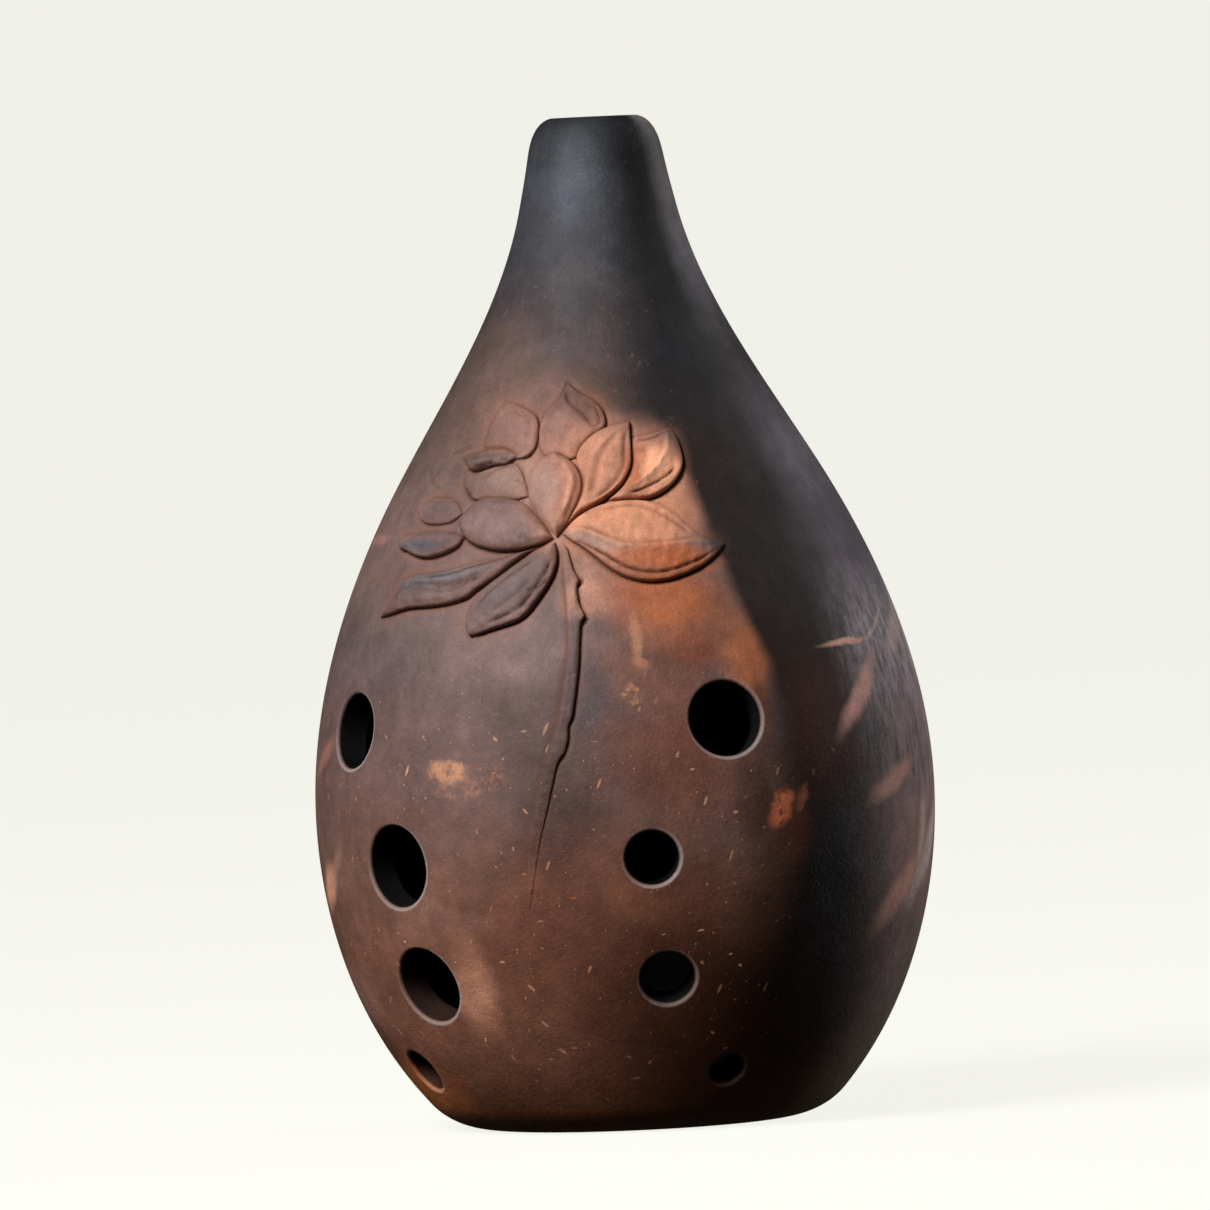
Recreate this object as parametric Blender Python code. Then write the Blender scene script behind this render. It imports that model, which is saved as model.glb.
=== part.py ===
"""Xun: a pear-shaped clay vessel flute with ten finger holes and a laid-on lotus.

The body is put together as a potter puts it together. Two half shells, pressed in
a mould, stand on a floor slab, and a mouth ring closes the neck. The finger holes are cut
through the halves. The lotus is made petal by petal from rolled clay, and each
petal follows the curve of the front half that it is pressed onto.

Frame: metres, +Z up, origin at the centre of the foot. The front, with the eight
finger holes and the lotus, faces -Y, and the two thumb holes are at the back.
"""

import math
from dataclasses import dataclass

import bmesh
import bpy
from mathutils import Vector

# Outside of the body, from the foot to the mouth. Each angle is the direction of
# the outline there, in degrees above the horizontal. The neck and the lip are set
# by how far they lie below the crown.
FOOT_RADIUS = 0.0210
FOOT_ANGLE = 6.0
FLANK_RADIUS = 0.0284
FLANK_HEIGHT = 0.0036
FLANK_ANGLE = 48.5
BELLY_RADIUS = 0.0425
BELLY_HEIGHT = 0.0441
SHOULDER_RADIUS = 0.0288
SHOULDER_HEIGHT = 0.0891
SHOULDER_ANGLE = 120.0
NECK_RADIUS = 0.01085
NECK_DROP = 0.0125
NECK_ANGLE = 103.0
LIP_RADIUS = 0.00935
LIP_DROP = 0.0055
LIP_ANGLE = 100.0
CROWN_RADIUS = 0.0060
CROWN_ANGLE = 165.0
BODY_HEIGHT = 0.1378
NECK_HEIGHT = BODY_HEIGHT - NECK_DROP
LIP_HEIGHT = BODY_HEIGHT - LIP_DROP

# Walls, floor and mouth
WALL = 0.0045
FLOOR_THICKNESS = 0.0036
RING_DEPTH = 0.0133
RING_SEAT_HEIGHT = BODY_HEIGHT - RING_DEPTH
BLOW_HOLE_RADIUS = 0.0045
BLOW_HOLE_BEVEL_WIDTH = 0.0009
BLOW_HOLE_BEVEL_DEPTH = 0.0016
BLOW_HOLE_LAND = 0.0040
SEAM = 0.0003

# Finger and thumb holes
RIM_ROUND = 0.0007
RIM_TURNS = (0.0, 30.0, 60.0)
HOLE_SIDES = 24
CUTTER_REACH = 0.0030

# Lotus, drawn in millimetres on a sheet laid round the body from its heart
SHEET_UNIT = 0.001
LOTUS_HEART_AZIMUTH = 8.4
LOTUS_HEART_HEIGHT = 0.0815
PETAL_SEAT = 0.0003
PETAL_CLEARANCE = 0.0003
PETAL_ROWS = 12
PETAL_COLUMNS = 6
SWELL_POWER = 0.6

# Fineness of the turned shapes
SHELL_SIDES = 28
SHELL_ROWS = 22
TURNED_SIDES = 48
TURNED_STEPS = 6
CURVE_STEPS = 24

# Shading of the clay: edges sharper than this angle stay crisp
SHARP_ANGLE = 35.0

# Fired clay colours, as linear red, green and blue
BROWN_CLAY = (0.095, 0.046, 0.032)
BLACK_CLAY = (0.014, 0.010, 0.009)
GREY_CLAY = (0.050, 0.052, 0.058)
ORANGE_CLAY = (0.420, 0.150, 0.075)
MAUVE_CLAY = (0.170, 0.098, 0.080)
SMOKED_CLAY = (0.060, 0.048, 0.046)
CLAY_ROUGHNESS = 0.48


@dataclass(frozen=True)
class Hole:
    """A round hole through a half shell.

    Azimuth is in degrees from the front, positive towards +X.
    """

    name: str
    azimuth: float
    height: float
    diameter: float


FRONT_HOLES = (
    Hole("left_index_hole", -41.0, 0.0561, 0.0102),
    Hole("left_middle_hole", -27.5, 0.0377, 0.0112),
    Hole("left_ring_hole", -25.5, 0.0212, 0.0108),
    Hole("left_little_hole", -42.5, 0.0089, 0.0066),
    Hole("right_index_hole", 41.0, 0.0563, 0.0102),
    Hole("right_middle_hole", 25.5, 0.0380, 0.0073),
    Hole("right_ring_hole", 28.0, 0.0214, 0.0074),
    Hole("right_little_hole", 43.5, 0.0081, 0.0048),
)

BACK_HOLES = (
    Hole("left_thumb_hole", -152.0, 0.0483, 0.0098),
    Hole("right_thumb_hole", 152.0, 0.0483, 0.0098),
)


@dataclass(frozen=True)
class Petal:
    """A petal or stem, as its outline and section on the sheet.

    Each side runs from root to tip as one curve with two handles. The section
    rises from the thickness of the first side to the crown, at a share of the
    width, and falls to the thickness of the second side. A groove, where there
    is one, is pressed in at its own share of the width.
    """

    name: str
    root: tuple
    tip: tuple
    first_side: tuple
    second_side: tuple
    first_edge: float
    crown: float
    second_edge: float
    crown_at: float
    groove_at: float = 0.0
    groove_depth: float = 0.0
    colour: tuple = MAUVE_CLAY


# The petals in the order of their layers: each one is trimmed clear of those
# before it, so the front petals come first.
LOTUS = (
    Petal(
        "petal_front_centre",
        root=(-0.4, 0.0),
        tip=(-1.5, 12.6),
        first_side=((-3.5, 3.0), (-8.5, 9.5)),
        second_side=((1.5, 3.0), (6.0, 9.5)),
        first_edge=0.5,
        crown=1.5,
        second_edge=0.8,
        crown_at=0.55,
    ),
    Petal(
        "petal_front_left",
        root=(-0.9, -0.1),
        tip=(-15.1, 2.4),
        first_side=((-4.0, 7.5), (-14.0, 8.5)),
        second_side=((-4.5, -2.5), (-14.5, -2.5)),
        first_edge=0.5,
        crown=1.5,
        second_edge=1.0,
        crown_at=0.6,
    ),
    Petal(
        "lotus_stem",
        root=(0.5, -1.0),
        tip=(-4.8, -51.6),
        first_side=((3.5, -20.0), (-2.0, -30.0)),
        second_side=((8.0, -17.5), (0.5, -29.0)),
        first_edge=0.3,
        crown=0.8,
        second_edge=0.6,
        crown_at=0.7,
    ),
    Petal(
        "petal_right_spread",
        root=(0.4, 0.4),
        tip=(23.0, -2.1),
        first_side=((7.5, 8.0), (11.0, 6.0)),
        second_side=((5.5, -3.0), (13.5, -13.0)),
        first_edge=0.4,
        crown=1.4,
        second_edge=1.0,
        crown_at=0.67,
        groove_at=0.5,
        groove_depth=0.5,
        colour=ORANGE_CLAY,
    ),
    Petal(
        "petal_low_drooping",
        root=(-0.6, -0.8),
        tip=(-12.6, -14.0),
        first_side=((-4.5, -2.5), (-16.5, -9.5)),
        second_side=((1.0, -8.0), (-5.0, -13.5)),
        first_edge=0.4,
        crown=1.3,
        second_edge=1.0,
        crown_at=0.67,
        groove_at=0.5,
        groove_depth=0.3,
    ),
    Petal(
        "petal_right_upright",
        root=(0.2, 0.9),
        tip=(8.4, 17.2),
        first_side=((4.5, 9.0), (-3.0, 14.5)),
        second_side=((5.5, 7.0), (11.0, 4.0)),
        first_edge=0.4,
        crown=1.4,
        second_edge=1.0,
        crown_at=0.83,
        groove_at=0.5,
        groove_depth=0.3,
        colour=ORANGE_CLAY,
    ),
    Petal(
        "petal_low_long",
        root=(-2.2, -1.0),
        tip=(-30.0, -11.2),
        first_side=((-14.0, -4.5), (-26.5, -2.5)),
        second_side=((-11.5, -8.0), (-11.5, -9.5)),
        first_edge=0.3,
        crown=1.2,
        second_edge=0.9,
        crown_at=0.67,
        groove_at=0.5,
        groove_depth=0.4,
        colour=SMOKED_CLAY,
    ),
    Petal(
        "petal_left_leaf",
        root=(-14.4, 0.5),
        tip=(-28.7, -0.2),
        first_side=((-17.0, 2.0), (-28.0, 1.5)),
        second_side=((-15.0, -2.5), (-23.5, -4.0)),
        first_edge=0.3,
        crown=1.0,
        second_edge=0.8,
        crown_at=0.67,
        colour=SMOKED_CLAY,
    ),
    Petal(
        "petal_left_curled",
        root=(-6.8, 12.5),
        tip=(-16.4, 12.4),
        first_side=((-8.0, 14.0), (-12.5, 14.0)),
        second_side=((-7.5, 11.5), (-14.5, 9.0)),
        first_edge=0.3,
        crown=1.1,
        second_edge=0.8,
        crown_at=0.67,
        colour=SMOKED_CLAY,
    ),
    Petal(
        "petal_right_cupped",
        root=(6.2, 5.2),
        tip=(13.9, 16.0),
        first_side=((9.5, 9.5), (5.5, 15.0)),
        second_side=((14.0, 4.0), (19.0, 8.0)),
        first_edge=0.3,
        crown=1.3,
        second_edge=0.9,
        crown_at=0.83,
        groove_at=0.5,
        groove_depth=0.4,
        colour=ORANGE_CLAY,
    ),
    Petal(
        "petal_back_centre",
        root=(-1.2, 11.6),
        tip=(-0.5, 23.7),
        first_side=((-6.5, 14.5), (-3.5, 18.0)),
        second_side=((5.5, 13.0), (8.0, 18.5)),
        first_edge=0.4,
        crown=0.9,
        second_edge=0.6,
        crown_at=0.67,
        groove_at=0.5,
        groove_depth=0.2,
    ),
    Petal(
        "petal_left_inner",
        root=(-4.6, 6.4),
        tip=(-15.7, 10.4),
        first_side=((-7.5, 14.0), (-8.0, 10.5)),
        second_side=((-6.5, 6.0), (-16.5, 4.0)),
        first_edge=0.3,
        crown=0.8,
        second_edge=0.5,
        crown_at=0.5,
    ),
    Petal(
        "petal_back_left",
        root=(-8.2, 12.0),
        tip=(-8.6, 20.9),
        first_side=((-16.0, 12.0), (-13.0, 21.5)),
        second_side=((-2.5, 11.5), (-3.0, 21.5)),
        first_edge=0.4,
        crown=0.8,
        second_edge=0.5,
        crown_at=0.5,
    ),
    Petal(
        "petal_left_small",
        root=(-15.2, 4.0),
        tip=(-24.7, 4.2),
        first_side=((-17.0, 7.5), (-22.5, 7.0)),
        second_side=((-17.0, 2.0), (-23.0, 1.5)),
        first_edge=0.3,
        crown=0.7,
        second_edge=0.5,
        crown_at=0.5,
        colour=SMOKED_CLAY,
    ),
)


def clear_scene():
    """Remove every object that the file opened with."""
    for thing in list(bpy.data.objects):
        bpy.data.objects.remove(thing, do_unlink=True)


def clay_material(name, colour):
    """Return a fired clay finish in one colour."""
    material = bpy.data.materials.new(name)
    material.use_nodes = True
    shader = material.node_tree.nodes["Principled BSDF"]
    shader.inputs["Base Color"].default_value = (*colour, 1.0)
    shader.inputs["Roughness"].default_value = CLAY_ROUGHNESS
    shader.inputs["Metallic"].default_value = 0.0
    return material


def add_object(name, verts, faces, colour=None):
    """Make a mesh object from points and faces, in clay where a colour is given."""
    mesh = bpy.data.meshes.new(name)
    mesh.from_pydata(verts, [], faces)
    mesh.validate()
    solid = bpy.data.objects.new(name, mesh)
    bpy.context.scene.collection.objects.link(solid)
    if colour is not None:
        mesh.materials.append(clay_material(name + "_clay", colour))
        mesh.shade_smooth()
        mesh.set_sharp_from_angle(angle=math.radians(SHARP_ANGLE))
    return solid


def add_cutter(name, verts, faces):
    """Make a mesh object that only cuts others."""
    cutter = add_object(name, verts, faces)
    cutter.hide_render = True
    cutter.display_type = "WIRE"
    return cutter


def subtract(solid, cutter):
    """Cut one object out of another with a modifier that stays on it."""
    modifier = solid.modifiers.new("cut " + cutter.name, "BOOLEAN")
    modifier.operation = "DIFFERENCE"
    modifier.solver = "EXACT"
    modifier.object = cutter


# Outline of the body


def cubic_point(start, first_handle, second_handle, end, share):
    """Return the point at a share of a cubic curve in the plane."""
    rest = 1.0 - share
    weights = (rest**3, 3 * rest**2 * share, 3 * rest * share**2, share**3)
    corners = (start, first_handle, second_handle, end)
    return tuple(sum(w * c[axis] for w, c in zip(weights, corners)) for axis in (0, 1))


def curve_between(start, start_angle, end, end_angle, steps):
    """Return points on the nearly circular curve that joins two directions."""
    turn = math.radians(end_angle - start_angle)
    handle = math.dist(start, end) / (3.0 * math.cos(turn / 4.0) ** 2)
    leave = math.radians(start_angle)
    arrive = math.radians(end_angle)
    first = (start[0] + handle * math.cos(leave), start[1] + handle * math.sin(leave))
    second = (end[0] - handle * math.cos(arrive), end[1] - handle * math.sin(arrive))
    return [cubic_point(start, first, second, end, i / steps) for i in range(steps + 1)]


def body_outline(steps):
    """Return the outer radius and height of points from the foot to the crown."""
    stations = (
        (FOOT_RADIUS, 0.0, FOOT_ANGLE),
        (FLANK_RADIUS, FLANK_HEIGHT, FLANK_ANGLE),
        (BELLY_RADIUS, BELLY_HEIGHT, 90.0),
        (SHOULDER_RADIUS, SHOULDER_HEIGHT, SHOULDER_ANGLE),
        (NECK_RADIUS, NECK_HEIGHT, NECK_ANGLE),
        (LIP_RADIUS, LIP_HEIGHT, LIP_ANGLE),
        (CROWN_RADIUS, BODY_HEIGHT, CROWN_ANGLE),
    )
    points = [(FOOT_RADIUS, 0.0)]
    for (r0, z0, a0), (r1, z1, a1) in zip(stations, stations[1:]):
        points += curve_between((r0, z0), a0, (r1, z1), a1, steps)[1:]
    return points


def offset_inwards(points, distance):
    """Return the outline moved into the wall, square to itself."""
    moved = []
    for i, (radius, height) in enumerate(points):
        before = points[max(i - 1, 0)]
        after = points[min(i + 1, len(points) - 1)]
        run = Vector((after[0] - before[0], after[1] - before[1])).normalized()
        moved.append((radius - run.y * distance, height + run.x * distance))
    return moved


def radius_at(points, height):
    """Return the radius of an outline at a height."""
    for (r0, z0), (r1, z1) in zip(points, points[1:]):
        if z0 <= height <= z1 and z1 > z0:
            return r0 + (r1 - r0) * (height - z0) / (z1 - z0)
    nearest = min(points, key=lambda point: abs(point[1] - height))
    return nearest[0]


OUTSIDE = body_outline(CURVE_STEPS)
INSIDE = offset_inwards(OUTSIDE, WALL)
OUTSIDE_RUN = [0.0]
for lower, upper in zip(OUTSIDE, OUTSIDE[1:]):
    OUTSIDE_RUN.append(OUTSIDE_RUN[-1] + math.dist(lower, upper))


def point_on_outline(run):
    """Return the radius, height and outward direction at a length of outline."""
    for i in range(len(OUTSIDE) - 1):
        if run <= OUTSIDE_RUN[i + 1] or i == len(OUTSIDE) - 2:
            step = OUTSIDE_RUN[i + 1] - OUTSIDE_RUN[i]
            share = (run - OUTSIDE_RUN[i]) / step
            lower = Vector(OUTSIDE[i])
            upper = Vector(OUTSIDE[i + 1])
            along = (upper - lower).normalized()
            return lower.lerp(upper, share), Vector((along.y, -along.x))


def run_at_height(height):
    """Return the length of outline between the foot and a height."""
    for i in range(len(OUTSIDE) - 1):
        z0 = OUTSIDE[i][1]
        z1 = OUTSIDE[i + 1][1]
        if z0 <= height <= z1 and z1 > z0:
            share = (height - z0) / (z1 - z0)
            return OUTSIDE_RUN[i] + share * (OUTSIDE_RUN[i + 1] - OUTSIDE_RUN[i])
    return OUTSIDE_RUN[-1]


def turned_point(radius, azimuth, height):
    """Return the point at a radius and an azimuth, in radians from the front."""
    return Vector((radius * math.sin(azimuth), -radius * math.cos(azimuth), height))


# Half shells


def levels_between(points, bottom, top, count):
    """Return points of an outline at even steps of height."""
    heights = [bottom + (top - bottom) * i / count for i in range(count + 1)]
    return [(radius_at(points, height), height) for height in heights]


def half_shell(name, facing, colour):
    """Make one half of the body wall, a seam short of the other half.

    The facing is 0 for the front half and pi for the back half.
    """
    bottom = FLOOR_THICKNESS + SEAM
    top = RING_SEAT_HEIGHT - SEAM
    outer = levels_between(OUTSIDE, bottom, top, SHELL_ROWS)
    inner = levels_between(INSIDE, bottom, top, SHELL_ROWS)
    section = outer + inner[::-1]
    verts = []
    for side in range(SHELL_SIDES + 1):
        share = 2.0 * side / SHELL_SIDES - 1.0
        for radius, height in section:
            limit = math.pi / 2.0 - math.asin(SEAM / 2.0 / radius)
            verts.append(turned_point(radius, facing + share * limit, height))
    ring = len(section)
    faces = []
    for side in range(SHELL_SIDES):
        for i in range(ring):
            j = (i + 1) % ring
            here = side * ring
            there = here + ring
            faces.append((here + i, there + i, there + j, here + j))
    for column, turned in ((0, False), (SHELL_SIDES, True)):
        base = column * ring
        for i in range(SHELL_ROWS):
            across = ring - 1 - i
            quad = (base + i, base + i + 1, base + across - 1, base + across)
            faces.append(quad[::-1] if turned else quad)
    return add_object(name, verts, faces, colour)


def surface_frame(azimuth, height):
    """Return a point on the outside, and its outward, sideways and upward axes."""
    point, outward = point_on_outline(run_at_height(height))
    seat = turned_point(point.x, azimuth, point.y)
    out = turned_point(outward.x, azimuth, outward.y)
    sideways = Vector((math.cos(azimuth), math.sin(azimuth), 0.0))
    return seat, out, sideways, out.cross(sideways).normalized()


def cut_hole(shell, hole):
    """Cut a round hole square to the wall, with its outer rim rounded over."""
    azimuth = math.radians(hole.azimuth)
    seat, out, sideways, upward = surface_frame(azimuth, hole.height)
    radius = hole.diameter / 2.0
    rise = radius**2 / (2.0 * radius_at(OUTSIDE, hole.height)) / 2.0
    section = [(radius, -WALL - CUTTER_REACH)]
    for degrees in RIM_TURNS:
        turn = math.radians(degrees)
        flare = radius + RIM_ROUND * (1.0 - math.cos(turn))
        section.append((flare, RIM_ROUND * (math.sin(turn) - 1.0) - rise))
    section.append((radius + RIM_ROUND, -rise))
    section.append((radius + RIM_ROUND + CUTTER_REACH, CUTTER_REACH))
    verts = []
    for reach, depth in section:
        for side in range(HOLE_SIDES):
            turn = 2.0 * math.pi * side / HOLE_SIDES
            ring_point = seat + out * depth
            ring_point += sideways * (reach * math.cos(turn))
            ring_point += upward * (reach * math.sin(turn))
            verts.append(ring_point)
    faces = [tuple(reversed(range(HOLE_SIDES)))]
    for row in range(len(section) - 1):
        for side in range(HOLE_SIDES):
            beside = (side + 1) % HOLE_SIDES
            here = row * HOLE_SIDES
            above = here + HOLE_SIDES
            faces.append((here + side, here + beside, above + beside, above + side))
    last = (len(section) - 1) * HOLE_SIDES
    faces.append(tuple(range(last, last + HOLE_SIDES)))
    cutter = add_cutter(hole.name, verts, faces)
    face_outwards(cutter)
    subtract(shell, cutter)


# Floor slab and mouth ring


def turned_solid(name, section, colour, closed):
    """Turn a section about the body's axis.

    A closed section makes a ring. An open one starts and ends on the axis.
    """
    verts = []
    rows = section if closed else section[1:-1]
    for radius, height in rows:
        for side in range(TURNED_SIDES):
            turn = 2.0 * math.pi * side / TURNED_SIDES
            verts.append(turned_point(radius, turn, height))
    count = len(rows)
    faces = []
    for row in range(count if closed else count - 1):
        above = (row + 1) % count
        for side in range(TURNED_SIDES):
            beside = (side + 1) % TURNED_SIDES
            here = row * TURNED_SIDES
            there = above * TURNED_SIDES
            faces.append((here + side, here + beside, there + beside, there + side))
    if not closed:
        for (radius, height), row in ((section[0], 0), (section[-1], count - 1)):
            centre = len(verts)
            verts.append(turned_point(radius, 0.0, height))
            for side in range(TURNED_SIDES):
                beside = (side + 1) % TURNED_SIDES
                here = row * TURNED_SIDES
                fan = (centre, here + beside, here + side)
                faces.append(fan if row == 0 else fan[::-1])
    return add_object(name, verts, faces, colour)


def base_disc():
    """Make the floor slab, whose edge carries on the outside of the body."""
    section = [(0.0, 0.0)]
    section += [point for point in body_outline(TURNED_STEPS) if point[1] < FLOOR_THICKNESS]
    section.append((radius_at(OUTSIDE, FLOOR_THICKNESS), FLOOR_THICKNESS))
    section.append((0.0, FLOOR_THICKNESS))
    return turned_solid("base_disc", section, BROWN_CLAY, closed=False)


def mouth_ring():
    """Make the ring round the blow hole, with its bevelled edge."""
    outer = [point for point in body_outline(TURNED_STEPS) if point[1] > RING_SEAT_HEIGHT]
    edge_radius = BLOW_HOLE_RADIUS + BLOW_HOLE_BEVEL_WIDTH
    edge_depth = BODY_HEIGHT - BLOW_HOLE_BEVEL_DEPTH
    section = [(radius_at(OUTSIDE, RING_SEAT_HEIGHT), RING_SEAT_HEIGHT)]
    section += outer
    section.append((edge_radius, BODY_HEIGHT))
    section.append((BLOW_HOLE_RADIUS, edge_depth))
    section.append((BLOW_HOLE_RADIUS, edge_depth - BLOW_HOLE_LAND))
    section.append((radius_at(INSIDE, RING_SEAT_HEIGHT), RING_SEAT_HEIGHT))
    return turned_solid("mouth_ring", section, GREY_CLAY, closed=True)


# Lotus


def on_body(sheet_point, lift):
    """Return the place on the body of a point of the sheet, lifted off the clay."""
    heart_run = run_at_height(LOTUS_HEART_HEIGHT)
    run = heart_run + sheet_point[1] * SHEET_UNIT
    point, outward = point_on_outline(run)
    azimuth = math.radians(LOTUS_HEART_AZIMUTH) + sheet_point[0] * SHEET_UNIT / point.x
    seat = turned_point(point.x, azimuth, point.y)
    return seat + turned_point(outward.x, azimuth, outward.y) * lift


def petal_thickness(petal, along, across):
    """Return the thickness of a petal at shares of its length and width."""
    if across < petal.crown_at:
        rise = math.sin(math.pi / 2.0 * across / petal.crown_at)
    else:
        rise = math.sin(math.pi / 2.0 * (1.0 - across) / (1.0 - petal.crown_at))
    edge = petal.first_edge + (petal.second_edge - petal.first_edge) * across
    swell = math.sin(math.pi * along) ** SWELL_POWER
    thickness = edge + (petal.crown - edge) * rise * swell
    if petal.groove_depth and abs(across - petal.groove_at) < 0.5 / PETAL_COLUMNS:
        thickness -= petal.groove_depth * swell
    return thickness * SHEET_UNIT


def petal_outline(petal, margin):
    """Return the root, the rows across and the tip of a petal on the sheet.

    The margin, in sheet units, widens the outline on all sides.
    """
    root = Vector(petal.root)
    tip = Vector(petal.tip)
    length = (tip - root).normalized()
    rows = []
    for i in range(1, PETAL_ROWS):
        share = i / PETAL_ROWS
        first = Vector(cubic_point(root, *petal.first_side, tip, share))
        second = Vector(cubic_point(root, *petal.second_side, tip, share))
        width = (second - first).normalized() * margin
        first -= width
        second += width
        steps = range(PETAL_COLUMNS + 1)
        rows.append([first.lerp(second, j / PETAL_COLUMNS) for j in steps])
    reach = length * margin * 2.0
    return root - reach, rows, tip + reach


def petal_body(petal, margin, bottom_lift, top_lift):
    """Return the points and faces of a petal between two lifts.

    A top lift of None gives the petal its own thickness.
    """
    root, rows, tip = petal_outline(petal, margin)
    layers = []
    for layer in (0, 1):
        verts = []
        stations = [(0, 0, root)]
        for i, row in enumerate(rows):
            stations += [(i + 1, j, point) for j, point in enumerate(row)]
        stations.append((PETAL_ROWS, 0, tip))
        for i, j, point in stations:
            lift = bottom_lift
            if layer == 1:
                share = (i / PETAL_ROWS, j / PETAL_COLUMNS)
                own = petal_thickness(petal, *share)
                lift = bottom_lift + own if top_lift is None else top_lift
            verts.append(on_body(point, lift))
        layers.append(verts)
    count = len(layers[0])
    columns = PETAL_COLUMNS + 1
    upper = []
    for j in range(PETAL_COLUMNS):
        upper.append((0, 1 + j, 2 + j))
        for i in range(PETAL_ROWS - 2):
            here = 1 + i * columns + j
            upper.append((here, here + columns, here + columns + 1, here + 1))
        last = 1 + (PETAL_ROWS - 2) * columns + j
        upper.append((last, count - 1, last + 1))
    first_edge = [1 + i * columns for i in range(PETAL_ROWS - 1)]
    second_edge = [start + PETAL_COLUMNS for start in first_edge]
    border = [0] + second_edge + [count - 1] + first_edge[::-1]
    faces = [tuple(count + index for index in face) for face in upper]
    faces += [tuple(reversed(face)) for face in upper]
    for here, there in zip(border, border[1:] + border[:1]):
        faces.append((here, there, count + there, count + here))
    return layers[0] + layers[1], faces


def face_outwards(solid):
    """Turn the faces of a closed mesh so that they all point out."""
    work = bmesh.new()
    work.from_mesh(solid.data)
    bmesh.ops.recalc_face_normals(work, faces=work.faces)
    work.to_mesh(solid.data)
    work.free()


def boxes_meet(first, second):
    """Tell whether two lists of points have boxes that overlap."""
    for axis in range(3):
        ends = []
        for points in (first, second):
            values = [point[axis] for point in points]
            ends.append((min(values), max(values)))
        if ends[0][1] < ends[1][0] or ends[1][1] < ends[0][0]:
            return False
    return True


def lay_lotus():
    """Lay the petals and the stem, each trimmed clear of those in front of it."""
    margin = PETAL_CLEARANCE / SHEET_UNIT
    tallest = max(petal.crown for petal in LOTUS) * SHEET_UNIT
    cutters = []
    for petal in LOTUS:
        verts, faces = petal_body(petal, 0.0, PETAL_SEAT, None)
        solid = add_object(petal.name, verts, faces, petal.colour)
        face_outwards(solid)
        for cutter, cutter_verts in cutters:
            if boxes_meet(verts, cutter_verts):
                subtract(solid, cutter)
        cut_verts, cut_faces = petal_body(petal, margin, -tallest, 3.0 * tallest)
        cutter = add_cutter(petal.name + "_trim", cut_verts, cut_faces)
        face_outwards(cutter)
        cutters.append((cutter, cut_verts))


def main():
    """Build the whole instrument."""
    clear_scene()
    front = half_shell("front_shell", 0.0, BROWN_CLAY)
    back = half_shell("back_shell", math.pi, BLACK_CLAY)
    for shell, holes in ((front, FRONT_HOLES), (back, BACK_HOLES)):
        face_outwards(shell)
        for hole in holes:
            cut_hole(shell, hole)
    for solid in (base_disc(), mouth_ring()):
        face_outwards(solid)
    lay_lotus()


main()
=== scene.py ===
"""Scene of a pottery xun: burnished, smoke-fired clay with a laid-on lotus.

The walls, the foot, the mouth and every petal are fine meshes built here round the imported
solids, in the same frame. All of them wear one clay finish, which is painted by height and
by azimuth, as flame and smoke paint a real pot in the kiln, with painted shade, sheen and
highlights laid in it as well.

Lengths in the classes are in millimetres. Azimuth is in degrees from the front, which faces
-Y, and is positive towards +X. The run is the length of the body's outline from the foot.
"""

import logging
import math
from dataclasses import dataclass
from enum import Enum
from typing import Any, Optional

import bmesh
import bpy
import numpy as np
from mathutils import Matrix, Vector

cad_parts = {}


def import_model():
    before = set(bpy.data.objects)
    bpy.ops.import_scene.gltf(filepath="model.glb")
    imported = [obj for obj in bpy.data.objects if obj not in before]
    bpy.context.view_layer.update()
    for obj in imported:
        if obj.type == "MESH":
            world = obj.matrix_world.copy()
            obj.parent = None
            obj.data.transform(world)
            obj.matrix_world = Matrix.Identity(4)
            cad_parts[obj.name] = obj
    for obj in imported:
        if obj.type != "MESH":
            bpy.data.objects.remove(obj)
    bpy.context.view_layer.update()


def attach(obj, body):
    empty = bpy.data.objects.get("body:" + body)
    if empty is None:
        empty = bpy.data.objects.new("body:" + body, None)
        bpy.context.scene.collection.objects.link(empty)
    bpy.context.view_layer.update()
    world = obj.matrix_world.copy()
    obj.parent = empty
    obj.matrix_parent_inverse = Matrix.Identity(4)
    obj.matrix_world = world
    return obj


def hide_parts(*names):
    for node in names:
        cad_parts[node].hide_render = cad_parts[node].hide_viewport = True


MM = 0.001
BODY = "root"
log = logging.getLogger("xun")

Array = np.ndarray
Numbers = tuple[float, ...]
Points = tuple[tuple[float, float], ...]
Colour = tuple[float, float, float, float]
Tones = tuple[tuple[float, str], ...]
Socket = bpy.types.NodeSocket

# What each point of a mesh knows: soot and painted shade in a crevice, a worn edge with a
# painted highlight, soot and painted shade inside the pot and the scorched clay beside a
# petal, each from 0 to 1
FACTS = ("soot", "wear_and_highlight", "deep", "warm")
SOOT_AND_SHADE, WEAR_AND_HIGHLIGHT, DEEP, WARM = range(4)
# The height that the tone ramps and the smoke's curves are drawn over
CURVE_HEIGHT = 140.0
FULL_TURN = 2 * np.pi


class Piece(Enum):
    """The members of the body that the outer skin is shared out to."""

    FOOT = 0
    FRONT = 1
    BACK = 2
    MOUTH = 3


class Brush(Enum):
    """How the edge of a patch looks: a soft cloud, a soft stroke, a torn flash or specks."""

    CLOUD = "cloud"
    STROKE = "stroke"
    FLASH = "flash"
    SPECKS = "specks"


def linear(code: str) -> Colour:
    """Turn an sRGB hex colour, with its hash sign, into linear light and an alpha of one."""
    parts = [int(code[i : i + 2], 16) / 255.0 for i in (1, 3, 5)]
    lit = [c / 12.92 if c <= 0.04045 else ((c + 0.055) / 1.055) ** 2.4 for c in parts]
    return (lit[0], lit[1], lit[2], 1.0)


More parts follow.
